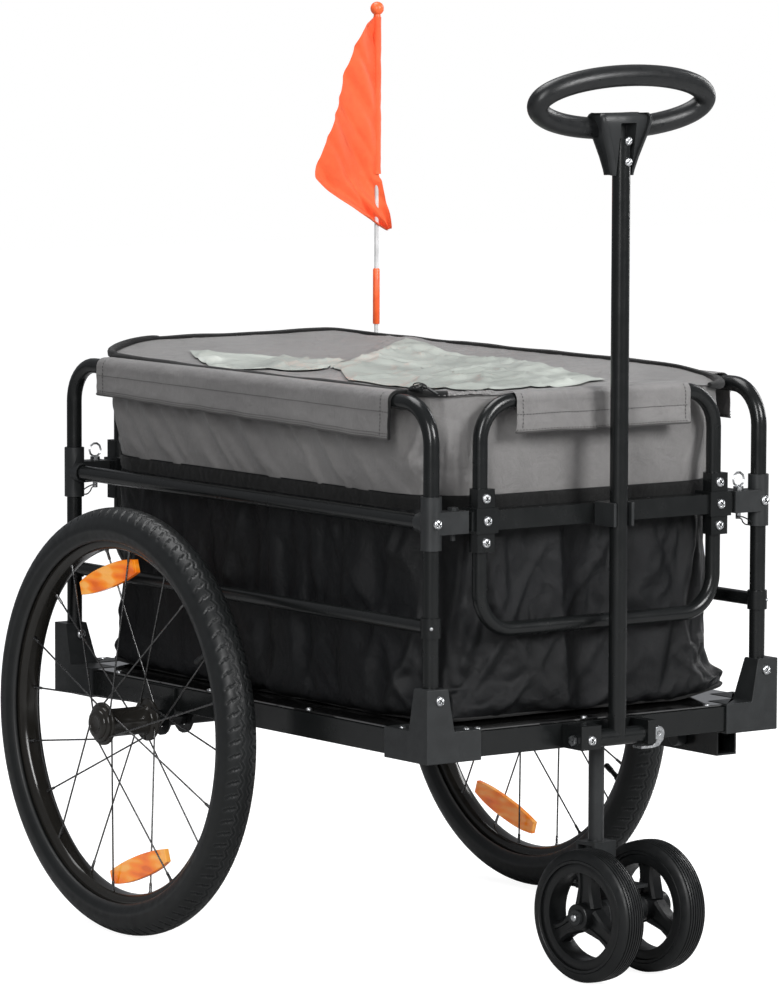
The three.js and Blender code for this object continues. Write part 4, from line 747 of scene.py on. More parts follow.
LENS_RADIUS = 0.170
LENS_HALF, LENS_TALL, LENS_THICK = 0.0608, 0.0134, 0.0032
LENS_RINGS = ((-LENS_THICK, 0.0006), (-LENS_THICK + 0.0006, 0.0), (LENS_THICK - 0.0006, 0.0),
              (LENS_THICK, 0.0006), (LENS_THICK, 0.0022), (LENS_THICK - 0.0006, 0.0028))


def reflector(name, body, tilt):
    """A boat-shaped lens with a raised rim outward, flat behind, tilted on its spokes by degrees."""
    centre = middle(name)
    wheel_centre = Vector((centre.x, AXLE.y, AXLE.z))
    radial = (centre - wheel_centre).normalized()
    along = radial.cross(X_WAY).normalized()
    centre = wheel_centre + radial * LENS_RADIUS
    turned = Matrix.Rotation(math.radians(tilt), 3, "X")
    along, radial = turned @ along, turned @ radial
    outline = [(LENS_HALF * t, LENS_TALL * (1 - 0.50 * abs(t) ** 2.6))
               for t in (-1 + 2 * i / 20 for i in range(21))]
    outline += [(LENS_HALF * t, -LENS_TALL * (1 - 0.36 * abs(t) ** 2.2))
                for t in (1 - 2 * i / 20 for i in range(21))]
    lens = skin(f"{name}_lens", [
        [centre + along * u * (1 - inset / LENS_HALF) + radial * v * (1 - inset / LENS_TALL)
         + Vector((x, 0, 0)) for u, v in outline] for x, inset in LENS_RINGS])
    sharp_edges(lens, 35)
    finish(lens, AMBER, body, "amber_lens", name)


for wheel_side, level, tilt in (("left", "upper", -7), ("left", "lower", -9), ("right", "upper", 0),
                                ("right", "lower", 0)):
    reflector(f"{wheel_side}_{level}_reflector", f"{wheel_side}_wheel", tilt)


# Cloth bag: black liner, grey skirt, flaps over the rails, and a zipped cover with clear windows.
BAG_HALF_X, BAG_HALF_Y = 0.219, 0.342
BAG_FOOT_Z, BAG_SEAM_Z, BAG_TOP_Z = 0.2923, 0.545, 0.661
# Heights with the insets across and along and the corner's radius there.
BAG_ROWS = [(BAG_FOOT_Z, 0.019, 0.011, 0.020), (0.316, 0.009, 0.009, 0.032), (0.350, 0.011, 0.011, 0.048),
            (0.400, 0.012, 0.012, 0.070), (0.450, 0.009, 0.008, 0.080), (0.500, 0.005, 0.005, 0.084),
            (BAG_SEAM_Z, 0.003, 0.003, 0.085), (0.597, 0.0, 0.0, 0.075), (BAG_TOP_Z, 0.0, 0.0, 0.062)]
BAG_CORNER_R = BAG_ROWS[-1][3]
FLAP_ALONG, FLAP_ACROSS = 0.293, 0.1235


def on_rows(rows, z):
    """The values at a height, on a smooth curve through the rows."""
    k = 0
    while k < len(rows) - 2 and rows[k + 1][0] < z:
        k += 1
    a, b = rows[k], rows[k + 1]
    before, after = rows[max(k - 1, 0)], rows[min(k + 2, len(rows) - 1)]
    step = b[0] - a[0]
    t = (z - a[0]) / step
    values = []
    for j in range(1, len(a)):
        start = (b[j] - before[j]) / (b[0] - before[0]) * step
        end = (after[j] - a[j]) / (after[0] - a[0]) * step
        values.append((2 * t ** 3 - 3 * t ** 2 + 1) * a[j] + (t ** 3 - 2 * t ** 2 + t) * start
                      + (3 * t ** 2 - 2 * t ** 3) * b[j] + (t ** 3 - t ** 2) * end)
    return values


def rounded(half_x, half_y, radius, count):
    """Evenly spaced places and outward directions round a rounded rectangle, from its front."""
    sx, sy, quarter = half_x - radius, half_y - radius, radius * math.pi / 2
    runs = [(sx, (0, -half_y), (1, 0)), (quarter, (sx, -sy), -math.pi / 2),
            (2 * sy, (half_x, -sy), (0, 1)), (quarter, (sx, sy), 0.0),
            (2 * sx, (sx, half_y), (-1, 0)), (quarter, (-sx, sy), math.pi / 2),
            (2 * sy, (-half_x, sy), (0, -1)), (quarter, (-sx, -sy), math.pi),
            (sx, (-sx, -half_y), (1, 0))]
    total = sum(run[0] for run in runs)
    result = []
    for i in range(count):
        s, k = total * i / count, 0
        while k < len(runs) - 1 and s > runs[k][0]:
            s -= runs[k][0]
            k += 1
        _, start, way = runs[k]
        if isinstance(way, tuple):
            result.append((start[0] + way[0] * s, start[1] + way[1] * s, way[1], -way[0]))
        else:
            a = way + s / radius
            c, d = math.cos(a), math.sin(a)
            result.append((start[0] + radius * c, start[1] + radius * d, c, d))
    return result


def bag_ring(z, count, out):
    inset_x, inset_y, radius = on_rows(BAG_ROWS, z)
    return rounded(BAG_HALF_X - inset_x + out, BAG_HALF_Y - inset_y + out, radius + out, count)


def ridges(x, y, z, lean, along, across, seed):
    """Soft folds that lean with height: sharp crests, broad hollows."""
    value = noise.noise(Vector((x * along, (y - lean * z) * along, seed + z * across)))
    return (1 - min(1.0, abs(value) * 2.6)) ** 2


def liner_fold(x, y, z, nx):
    side = abs(nx)
    deep = ridges(x * 0.9 + 0.35 * z * (1 - side), y, z, 0.55 * side, 11, 2.5, 3.1)
    second = ridges(x - 0.7 * z * (1 - side), y, z, -0.35 * side, 16, 4.0, 8.7)
    fine = ridges(x, y, z, 0.7, 38, 16, 5.2)
    room = smoothstep(0.293, 0.33, z) * (1 - smoothstep(0.50, 0.54, z))
    return room * (0.0105 * deep + 0.0070 * second + 0.0022 * fine - 0.0055)


def pucker(along, z, period, lean, seed):
    """Slanting pulls in taut cloth: each rises fast and falls away slowly."""
    warp = 0.45 * noise.noise(Vector((along * 7, seed, z * 4)))
    t = (along - lean * (z - BAG_SEAM_Z)) / period + warp
    phase = t % 1.0
    strength = 0.65 + 0.5 * noise.noise(Vector((math.floor(t) * 1.7, seed, 0.5)))
    return strength * smoothstep(0.0, 0.22, phase) * (1 - smoothstep(0.18, 1.0, phase))


def skirt_fold(x, y, z, nx):
    side = abs(nx)
    low_part = (1 - smoothstep(0.57, 0.655, z)) * (0.10 + 0.90 * smoothstep(0.543, 0.566, z))
    slant = ridges(x + 0.25 * z * (1 - side), y, z, 0.85 * side, 17 if side > 0.5 else 12, 1.2, 11.4)
    broad = noise.noise(Vector((x * 8, (y - 0.6 * z) * 8, 4.0 + z * 5)))
    pulls = side * pucker(y, z, 0.074, 1.15, 2.0)
    return (0.25 + 0.75 * low_part) * (0.0062 * slant * (0.4 + 0.6 * side) + 0.0040 * broad
                                       + 0.0082 * pulls) - 0.0045


def cloth_wall(name, heights, count, out, fold, shift=None):
    """A closed cloth wall at the bag's outline: fold pushes a point outward, shift moves it."""
    vertices = []
    for z in heights:
        for x, y, nx, ny in bag_ring(z, count, out):
            push = fold(x, y, z, nx)
            place = Vector((x + nx * push, y + ny * push, z))
            if shift:
                place += shift(x, y, z, nx, ny)
            vertices.append(at(*place))
    return new_object(name, vertices, quads(len(heights), count))


CLOTH_REACH = 0.014
# The widest and the longest the cloth may be, each up to a height.
SIDE_LIMITS = ((0.424, 0.2203), (0.502, 0.226), (math.inf, 0.2222))
END_LIMITS = ((0.478, 0.3482), (math.inf, 0.3426))


def held_within(value, limits, z):
    limit = next(limit for top, limit in limits if z <= top)
    return max(-limit, min(limit, value))


def keep_clear(obj, cap=None):
    """Holds cloth inside the rails and gates, and within a cap of where it was sewn."""
    for v in obj.data.vertices:
        place = v.co - at(0, 0, 0)
        if cap is not None:
            move = place - cap[v.index]
            if move.length > CLOTH_REACH:
                place = cap[v.index] + move * (CLOTH_REACH / move.length)
        place.x = held_within(place.x, SIDE_LIMITS, place.z)
        place.y = held_within(place.y, END_LIMITS, place.z)
        place.z = max(place.z, FLOOR_TOP + 0.0006)
        v.co = place + at(0, 0, 0)


CLOTH_FRAMES = 26


def simulate(obj, rows, count):
    """Lets the slack cloth buckle between its sewn edges, and keeps the result."""
    sewn = [v.co - at(0, 0, 0) for v in obj.data.vertices]
    held = obj.vertex_groups.new(name="sewn")
    held.add(list(range(count)) + list(range((rows - 1) * count, rows * count)), 1.0, "REPLACE")
    held.add(list(range((rows - 2) * count, (rows - 1) * count)), 0.6, "REPLACE")
    cloth = modifier(obj, "CLOTH", "cloth")
    s = cloth.settings
    s.quality, s.mass = 6, 0.12
    s.tension_stiffness = s.compression_stiffness = 18
    s.shear_stiffness, s.bending_stiffness = 6, 0.35
    s.vertex_group_mass = "sewn"
    s.shrink_min = -0.035
    s.effector_weights.gravity = 0.6
    scene = bpy.context.scene
    for i in range(CLOTH_FRAMES):
        scene.frame_set(i + 1)
    shaped = bpy.data.meshes.new_from_object(obj.evaluated_get(bpy.context.evaluated_depsgraph_get()))
    obj.modifiers.remove(cloth)
    obj.data = shaped
    scene.frame_set(1)
    keep_clear(obj, sewn)


def foot_shift(x, y, z, nx, ny):
    """The hem's loose lie: a little off the floor in front, kicked out at its right front corner."""
    near = 1 - smoothstep(0.295, 0.345, z)
    corner = smoothstep(0.13, 0.20, x) * smoothstep(0.25, 0.325, -y)
    rear_left = smoothstep(0.15, 0.20, -x) * smoothstep(0.22, 0.33, y)
    lift = 0.003 * smoothstep(0.2, 0.33, -y) + 0.011 * corner + 0.004 * rear_left
    lift += 0.0022 * noise.noise(Vector((x * 14, y * 14, 2.0)))
    reach = 0.010 * corner + 0.004 * noise.noise(Vector((x * 9, y * 9, 7.0)))
    return Vector((nx * reach * near, ny * reach * near, lift * near + 0.0014 * near))


LINER_COUNT, LINER_ROWS = ((380, 46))
liner_heights = [BAG_FOOT_Z + (BAG_SEAM_Z + 0.002 - BAG_FOOT_Z) * i / (LINER_ROWS - 1)
                 for i in range(LINER_ROWS)]
liner = cloth_wall("liner_wall", liner_heights, LINER_COUNT, -0.0005, liner_fold, foot_shift)
keep_clear(liner)
foot_path = [v.co + Vector((0, 0, 0.001)) for v in liner.data.vertices[:LINER_COUNT]]
simulate(liner, LINER_ROWS, LINER_COUNT)
smooth_faces(liner.data)
subdivided(liner)
finish(liner, LINER_CLOTH, "frame", "black_cloth", "bag_liner")

hem = tube("liner_hem", foot_path, 0.0021, 8, closed=True, flat=1.5)
finish(hem, BINDING, "frame", "black_cloth")

BAND_LOW, BAND_TALL = 0.5295, 0.0165


def band_fuzz(x, y, z, _):
    """The hook band's rough face, thicker between its edges."""
    return 0.0011 * noise.noise(Vector((x, y, z)) * 260) + (0.0012 if 0.531 < z < 0.5445 else 0.0)


band = cloth_wall("hook_band", [BAND_LOW + BAND_TALL * i / 6 for i in range(7)], 700, 0.0012, band_fuzz)
finish(band, FUZZ, "frame", "black_cloth")


COVER_EDGE_Z = 0.6612


def edge_z(x, y):
    """The height of the cover's edge, a little higher at the rear and on the right."""
    rear = smoothstep(0.12, 0.342, y)
    right_side = smoothstep(0.05, 0.219, x)
    z = COVER_EDGE_Z + rear * (0.0125 * (1 - smoothstep(0.12, 0.225, abs(x))) + 0.0035)
    z += right_side * 0.0052 * (1 - smoothstep(0.18, 0.342, -y)) * (1 - 0.6 * rear)
    z -= smoothstep(0.10, 0.215, x) * smoothstep(0.22, 0.342, -y) * 0.0075
    return z - (1 - right_side) * smoothstep(0.22, 0.342, -y) * 0.0015


SEAM_START, SEAM_END = Vector((-0.204, -0.120)), Vector((0.174, 0.222))
SEAM_RISE, SEAM_WIDTH, COVER_SAG = 0.0075, 0.03, 0.0045


def cover_z(x, y):
    """The cover sags between its edge and a seam that crosses it from corner to corner."""
    z = edge_z(x, y)
    inner = min(1.0, max(0.0, min(BAG_HALF_X - abs(x), BAG_HALF_Y - abs(y)) / 0.06))
    p = Vector((x, y)) - SEAM_START
    along = (SEAM_END - SEAM_START).normalized()
    off = abs(p.x * along.y - p.y * along.x)
    z += inner * (SEAM_RISE * math.exp(-(off / SEAM_WIDTH) ** 2)
                  - COVER_SAG * smoothstep(0.02, 0.09, off))
    z += inner * 0.0032 * noise.noise(Vector((x * 13, y * 13, 1.7)))
    z += (0.3 + 0.7 * inner) * 0.0022 * (ridges(x, y, 0, 0, 19, 1, 6.3) - 0.3)
    return z


SKIRT_COUNT = 520
SKIRT_FOOT_Z = 0.5425


def skirt_shift(x, y, z, nx, ny):
    """Lifts the skirt's upper edge to the cover's and turns it in a little."""
    share = smoothstep(0.60, BAG_TOP_Z, z)
    edge = smoothstep(0.655, BAG_TOP_Z, z) * 0.0012
    return Vector((-nx * edge, -ny * edge, share * (edge_z(x, y) - BAG_TOP_Z)))


skirt_heights = [SKIRT_FOOT_Z + (BAG_TOP_Z - SKIRT_FOOT_Z) * i / 26 for i in range(27)]
skirt = cloth_wall("skirt_wall", skirt_heights, SKIRT_COUNT, 0.0012, skirt_fold, skirt_shift)
subdivided(skirt, 0.0008, -1)
finish(skirt, GREY_CLOTH, "frame", "grey_cloth", "bag_skirt")

RING_COUNT, RINGS = 420, 60
cover_vertices = []
for i in range(RINGS + 1):
    inset = (BAG_HALF_X - 0.001) * i / RINGS
    radius = min(max(0.001, BAG_CORNER_R - inset * 0.3), BAG_HALF_X - inset - 0.0004)
    for x, y, *_ in rounded(BAG_HALF_X - inset, BAG_HALF_Y - inset, radius, RING_COUNT):
        cover_vertices.append(at(x, y, cover_z(x, y) - (0.0018 if i == 0 else 0.0)))
cover = new_object("cover_top", cover_vertices, quads(RINGS + 1, RING_COUNT)
                   + [tuple(RINGS * RING_COUNT + j for j in range(RING_COUNT))])
finish(cover, GREY_CLOTH, "frame", "grey_cloth", "bag_cover")


WINDOW_STEP, WINDOW_RINGS, WINDOW_LIFT = 0.0035, 44, 0.0016


def window(name, corners, wrinkle):
    """A clear panel sewn in the cover: a patch that follows it, with its own sharp creases."""
    sides = list(zip(corners, corners[1:] + corners[:1]))
    outline = []
    for a, b in ((Vector(a), Vector(b)) for a, b in sides):
        count = max(2, round((b - a).length / WINDOW_STEP))
        outline += [a.lerp(b, i / count) for i in range(count)]
    centre = sum((Vector(c) for c in corners), Vector((0, 0))) / len(corners)
    rings, size = WINDOW_RINGS, len(outline)
    vertices = []
    for t in (1 - i / rings for i in range(rings)):
        for q in (centre + (p - centre) * t for p in outline):
            lift = WINDOW_LIFT + 0.0006 * smoothstep(0.9, 1.0, t)
            if t < 0.985:
                crease = ridges(q.x * 0.30 + q.y * 0.25, q.y * 1.3 - q.x * 0.7, 0, 0, 20, 1, wrinkle)
                fine = ridges(q.x * 0.5, q.y - q.x * 0.4, 0, 0, 52, 1, wrinkle + 3)
                lift += (0.0050 * crease + 0.0010 * fine - 0.0008) * smoothstep(1.0, 0.9, t)
            vertices.append(at(q.x, q.y, cover_z(q.x, q.y) + lift))
    vertices.append(at(centre.x, centre.y, cover_z(centre.x, centre.y) + 0.002))
    last = (rings - 1) * size
    faces = quads(rings, size) + [(last + j, last + (j + 1) % size, rings * size) for j in range(size)]
    pane = new_object(name, vertices, faces)
    finish(pane, CLEAR_SHEET, "frame", "grey_cloth")


window("rear_window", [(-0.200, 0.110), (-0.130, 0.265), (-0.020, 0.170), (-0.020, 0.095),
                       (-0.110, 0.020)], 2.4)
window("front_window", [(-0.195, -0.150), (-0.120, 0.0), (0.150, 0.210), (0.165, -0.020),
                        (0.080, -0.268), (-0.090, -0.300)], 9.1)


def stitches(name, lines, pitch=0.0042, share=0.62, radius=0.00045, material=THREAD):
    """Rows of thread, one short raised stitch after another."""
    vertices, faces = [], []
    for line in lines:
        length, run = 0.0, []
        for a, b in zip(line, line[1:]):
            run.append((length, a, b))
            length += (b - a).length
        total = max(1, int(length / pitch))

        def place(d):
            for start, a, b in reversed(run):
                if d >= start:
                    return a.lerp(b, min(1.0, (d - start) / max(1e-9, (b - a).length)))
            return line[0]

        for i in range(total):
            a, b = place(i * pitch), place(i * pitch + pitch * share)
            if (b - a).length < 1e-6:
                continue
            v, f = tube_mesh([a, a.lerp(b, 0.25), a.lerp(b, 0.75), b],
                             [radius * 0.5, radius, radius, radius * 0.5], 5)
            base = len(vertices)
            vertices += v
            faces += [tuple(k + base for k in face) for face in f]
    return finish(new_object(name, vertices, faces), material, "frame", "black_cloth")


def flap(name, half, profile, place, foot_from, foot_to, lines):
    """A flap laid over a tube: the profile is (outward, height); its foot follows its own heights."""
    along = 120 if half > 0.2 else 60
    fixed, drops = len(profile), 14
    last_out, last_z = profile[-1]
    columns = []
    for i in range(along + 1):
        a = -half + 2 * half * i / along
        foot = foot_from + (foot_to - foot_from) * i / along
        foot += 0.0011 * noise.noise(Vector((a * 22, 3.0, foot_from * 50)))
        points = [(out + 0.0005 * noise.noise(Vector((a * 40, k * 0.35, 1.0))), z)
                  for k, (out, z) in enumerate(profile)]
        for t in (k / drops for k in range(1, drops + 1)):
            flare = 0.0016 * t * noise.noise(Vector((a * 16, t * 1.2, foot_to * 40))) + 0.0004 * t
            crease = 0.0009 * ridges(a, 0, t * 0.1, 0.6, 24, 10, 2.2)
            points.append((last_out + flare + crease - 0.0004, last_z + (foot - last_z) * t))
        columns.append([place(a, out, z) for out, z in points])
    rows = fixed + drops
    obj = new_object(name, [p for column in columns for p in column],
                     turned_over(quads(along + 1, rows, around=False)))
    bm = bmesh.new()
    bm.from_mesh(obj.data)
    bmesh.ops.recalc_face_normals(bm, faces=bm.faces)
    bm.faces.ensure_lookup_table()
    middle_face = bm.faces[len(bm.faces) // 2 + 4]
    if middle_face.normal.dot(middle_face.calc_center_median() - at(0, 0, 0.5)) < 0:
        bmesh.ops.reverse_faces(bm, faces=bm.faces)
    bm.to_mesh(obj.data)
    bm.free()
    subdivided(obj, 0.0011, 1)
    finish(obj, GREY_CLOTH, "frame", "grey_cloth")
    edge = tube(f"{name}_hem", [c[-1] for c in columns], 0.0011, 6, flat=1.6)
    finish(edge, DARK_EDGE, "frame", "black_cloth")
    sewing = []
    outward = place(0, 0.0016, 0) - place(0, 0, 0)
    for way, spot in lines:
        if way == "along":
            k = min(rows - 1, fixed - 1 + round(spot * drops))
            sewing.append([c[k] + outward for c in columns])
        else:
            sewing.append([p + outward for p in columns[spot][3:]])
    thread = stitches(f"{name}_stitches", sewing)
    wrap = sum(math.dist(a, b) for a, b in zip(profile, profile[1:])) + last_z - (foot_from + foot_to) / 2
    return columns


def over_tube(centre_out, radius, inner, inner_z):
    """A flap's profile from the bag's edge over a round rail."""
    reach = radius + 0.0014
    points = [(inner, inner_z), (inner + (centre_out - inner) * 0.35, inner_z + 0.0006)]
    for degrees in range(96, -1, -12):
        a = math.radians(degrees)
        points.append((centre_out + reach * math.cos(a), ARCH_RAIL_Z + reach * math.sin(a)))
    return points


side_profile = over_tube(POST_X, TUBE, 0.2165, 0.6616)
end_profile = over_tube(POST_Y, GATE_TUBE, 0.3395, 0.6608)
side_lines = [("along", 0.30), ("along", 0.86), ("along", 0.94), ("across", 3), ("across", -4)]
end_lines = [("along", 0.45), ("along", 0.90), ("across", 2), ("across", -3)]
left_columns = flap("left_flap", FLAP_ALONG, side_profile, lambda a, out, z: at(-out, a, z),
                    0.6098, 0.6200, side_lines)
flap("right_flap", FLAP_ALONG, side_profile, lambda a, out, z: at(out, a, z),
     0.6110, 0.6180, side_lines)
flap("front_flap", FLAP_ACROSS, end_profile, lambda a, out, z: at(a, -out, z),
     0.6175, 0.6165, end_lines)
flap("rear_flap", FLAP_ACROSS, end_profile, lambda a, out, z: at(a, out, z),
     0.6175, 0.6165, end_lines)
binding = tube("left_flap_binding", [p + Vector((0, -0.0006, 0)) for p in left_columns[0]], 0.0019, 8,
               flat=1.4)
finish(binding, BINDING, "frame", "black_cloth")

# Zipper: a black tape round the cover from one front corner to the other, rolled at its ends.
zip_ring = rounded(BAG_HALF_X, BAG_HALF_Y, BAG_CORNER_R, 420)
zip_path = [at(x + nx * 0.0002, y + ny * 0.0002, edge_z(x, y) + 0.0006
               + 0.0009 * noise.noise(Vector((x * 18, y * 18, 3.3))))
            for x, y, nx, ny in zip_ring if not (y < -0.32 and abs(x) < 0.19)]
tape = tube("zipper_tape", zip_path, [0.0040 + 0.0005 * math.sin(i * 0.21) for i in range(len(zip_path))],
            8, flat=0.8)
finish(tape, BINDING, "frame", "black_cloth")


def swell(name, path, thin, rise, power):
    """Rolled tape that is thickest at the middle of its path."""
    last = len(path) - 1
    piece = tube(name, path, [thin + rise * math.sin(math.pi * i / last) ** power
                              for i in range(last + 1)], 10)
    return finish(piece, BINDING, "frame", "black_cloth")


roll_piece = swell("zipper_roll", [at(x, y, edge_z(x, y) + 0.0022) for x, y, *_ in zip_ring
                                   if x < -0.12 and y > 0.28], 0.0022, 0.0028, 0.6)
bulge_piece = swell("zipper_end", [at(x + nx * 0.001, y + ny * 0.001, edge_z(x, y) - 0.001)
                                   for x, y, nx, ny in zip_ring if x > 0.17 and -0.342 <= y < -0.26],
                    0.003, 0.0032, 0.7)

slider_at = at(-0.2165, -0.306, edge_z(-0.2165, -0.306) + 0.004)
SLIDER_BODY = ((0, 0.012, 0), (0, 0.008, 0.0015), (0, 0, 0.0022), (0, -0.008, 0.0015), (0, -0.011, 0))
SLIDER_TONGUE = ((0, -0.004, 0.003), (0.002, -0.010, 0.005), (0.004, -0.018, 0.0035), (0.006, -0.026, 0.0),
                 (0.005, -0.034, -0.002))
pull = [tube("pull", [slider_at + Vector(d) for d in SLIDER_BODY],
             [0.0022, 0.0036, 0.0040, 0.0036, 0.002], 12, flat=0.7),
        tube("pull", [slider_at + Vector(d) for d in SLIDER_TONGUE],
             [0.0010, 0.0016, 0.0018, 0.0022, 0.0012], 10, flat=0.5)]
for turn, size in ((0.3, 0.009), (1.6, 0.012), (2.7, 0.008)):
    loop = [slider_at + Vector((size * math.cos(a) * math.cos(turn),
                                size * math.cos(a) * math.sin(turn) - 0.008,
                                0.002 + size * 0.28 * (1 + math.sin(a))))
            for a in (math.tau * i / 20 for i in range(20))]
    pull.append(tube("pull", loop, 0.0007, 6, closed=True))
slider = joined("zipper_slider", pull)
sharp_edges(slider, 50)
finish(slider, CASTER_RUBBER, "frame", "black_cloth")

# Gathered seam between the zipper's end and the front flap.
RUFFLE_STEPS = 70
ruffle_vertices = []
for i in range(RUFFLE_STEPS + 1):
    t = i / RUFFLE_STEPS
    x, y = -0.205 + 0.075 * t, -0.318 - 0.016 * math.sin(t * 2.6)
    wave_out = 0.0022 * math.sin(i * 1.35) + 0.0012 * math.sin(i * 0.61)
    rise = 0.0035 + 0.0016 * math.sin(i * 0.93)
    base_z = cover_z(x, y)
    ruffle_vertices += [at(x, y + 0.006, base_z + 0.0004), at(x, y, base_z + rise * 0.7),
                        at(x + 0.001, y - 0.004 + wave_out, base_z + rise),
                        at(x, y - 0.009 + wave_out, base_z + 0.0005)]
ruffle = new_object("gathered_seam", ruffle_vertices,
                    turned_over(quads(RUFFLE_STEPS + 1, 4, around=False)))
subdivided(ruffle, 0.0007)
finish(ruffle, GREY_CLOTH, "frame", "grey_cloth")


# Domed zinc bolt heads with a crossed recess, over the model's plain ones.
def bolt_head(face, direction, radius=0.0056, height=0.0034, recess=True):
    """A domed head on a face; its foot is let into the face a little."""
    side = direction.orthogonal().normalized()
    across = direction.cross(side)
    steps, rings = 40, 11
    turns = [math.tau * j / steps for j in range(steps)]
    vertices = [face - direction * 0.0004 + (side * math.cos(a) + across * math.sin(a)) * radius
                for a in turns]
    for angle in (math.pi / 2 * i / rings for i in range(rings + 1)):
        r = radius * math.cos(angle) ** 0.8
        lift = height * (0.22 + 0.78 * math.sin(angle))
        for a in turns:
            u, v = r * math.cos(a), r * math.sin(a)
            sink = 0.0
            if recess and r < radius * 0.62:
                sink = 0.0007 * (1 - smoothstep(radius * 0.08, radius * 0.17, min(abs(u), abs(v))))
            vertices.append(face + side * u + across * v + direction * (lift - sink))
    return new_object("bolt", vertices, quads(rings + 2, steps))


def bolts(name, body, heads):
    obj = joined(name, [bolt_head(*head) for head in heads])
    sharp_edges(obj, 60)
    finish(obj, ZINC, body, "zinc_steel")


HEAD = 0.003
BRACKET_BOLT_Z = 0.3276
BRACKET_UPRIGHT = 0.0272
PIVOT_BOLT_X = -0.0459
BOSS_BOLTS_Z = (0.9140, 0.9372)
CLAMP_BOLT_RISE, CLAMP_OUT = 0.0245, 0.0118
frame_heads = []
for end, sign in ENDS:
    out = Vector((0, sign, 0))
    for side, hand in SIDES:
        for node, x, z in ((f"{end}_{side}_corner_bracket", POST_X, BRACKET_BOLT_Z),
                           (f"{end}_{side}_tee_collar", POST_X, UPPER_RAIL_Z),
                           (f"{end}_gate_bar", GATE_X, UPPER_RAIL_Z)):
            face = (low(node).y + HEAD) if sign < 0 else (high(node).y - HEAD)
            frame_heads.append((Vector((hand * x, face, z)), out))
        frame_heads += [(at(hand * GATE_X, sign * (POST_Y + CLAMP_OUT), UPPER_RAIL_Z + rise), out)
                        for rise in (-CLAMP_BOLT_RISE, CLAMP_BOLT_RISE)]
frame_heads.append((Vector((PIVOT_BOLT_X, low("handle_bracket").y + HEAD, PIVOT.z)), -Y_WAY))
frame_heads += [(at(hand * POST_X, POST_Y - BRACKET_UPRIGHT / 2 - 0.0004, BRACKET_BOLT_Z), -Y_WAY)
                for _, hand in SIDES]
bolts("frame_bolt_heads", "frame", frame_heads)

# Rivets of the lower rails' front and rear collars, then the floor's screws; x and y in millimetres.
rivets = []
for _, hand in SIDES:
    for _, sign in ENDS:
        out = Vector((hand * 0.55, sign * 0.83, 0)).normalized()
        rivets.append((at(hand * POST_X, sign * POST_Y, LOWER_RAIL_Z) + out * COLLAR_R, out,
                       0.0020, 0.0013, False))
FRONT_SCREWS = ((-188, -364), (-174, -366), (-22, -362), (152, -366))
EDGE_SCREWS = [(x, y) for x in (-240, 240) for y in (-316, -138, 60, 250)] + [
    (x, 364 if x != -22 else 362) for x in (-188, -22, 152)]
for screws, radius in ((FRONT_SCREWS, 0.0040), (EDGE_SCREWS, 0.0038)):
    rivets += [(at(x / 1000, y / 1000, FLOOR_TOP), Z_WAY, radius, 0.0022) for x, y in screws]
bolts("frame_rivets", "frame", rivets)
bolts("handle_bolt_heads", "handle", [
    (Vector((0.0015, PIVOT.y - POLE_R, z)), -Y_WAY, 0.0050, 0.0032) for z in BOSS_BOLTS_Z])


# Caster wheels: a grooved tyre on a three-spoked core, at the caster's turn in the photograph.
CASTER_TURN = math.radians(7)
CASTER_AXIS = Vector((math.cos(CASTER_TURN), math.sin(CASTER_TURN), 0))
CASTER_BACK = Z_WAY.cross(CASTER_AXIS)
CASTER_AXES = (CASTER_AXIS, CASTER_BACK, Z_WAY)
CASTER_R, CASTER_HALF = 0.075, 0.0163
GROOVES = [0.0036 * k for k in range(-3, 4)]
GROOVE_DEPTH = 0.0013
# A caster spoke's half widths, each after its radius.
CASTER_SPOKE = ((0.010, 0.0150), (0.020, 0.0125), (0.032, 0.0098), (0.042, 0.0104), (0.050, 0.0135))


def caster_spoke_section(w):
    """A caster spoke's ribbed section of one half width, as (across, along the axis)."""
    corner = [(-w, 0.0066), (-w + 0.0026, 0.0094), (-w * 0.42, 0.0094), (-w * 0.36, 0.0072)]
    top = corner + [(-u, t) for u, t in reversed(corner)]
    return [(-w, -0.0066)] + top + [(-u, -t) for u, t in top[:-1]]


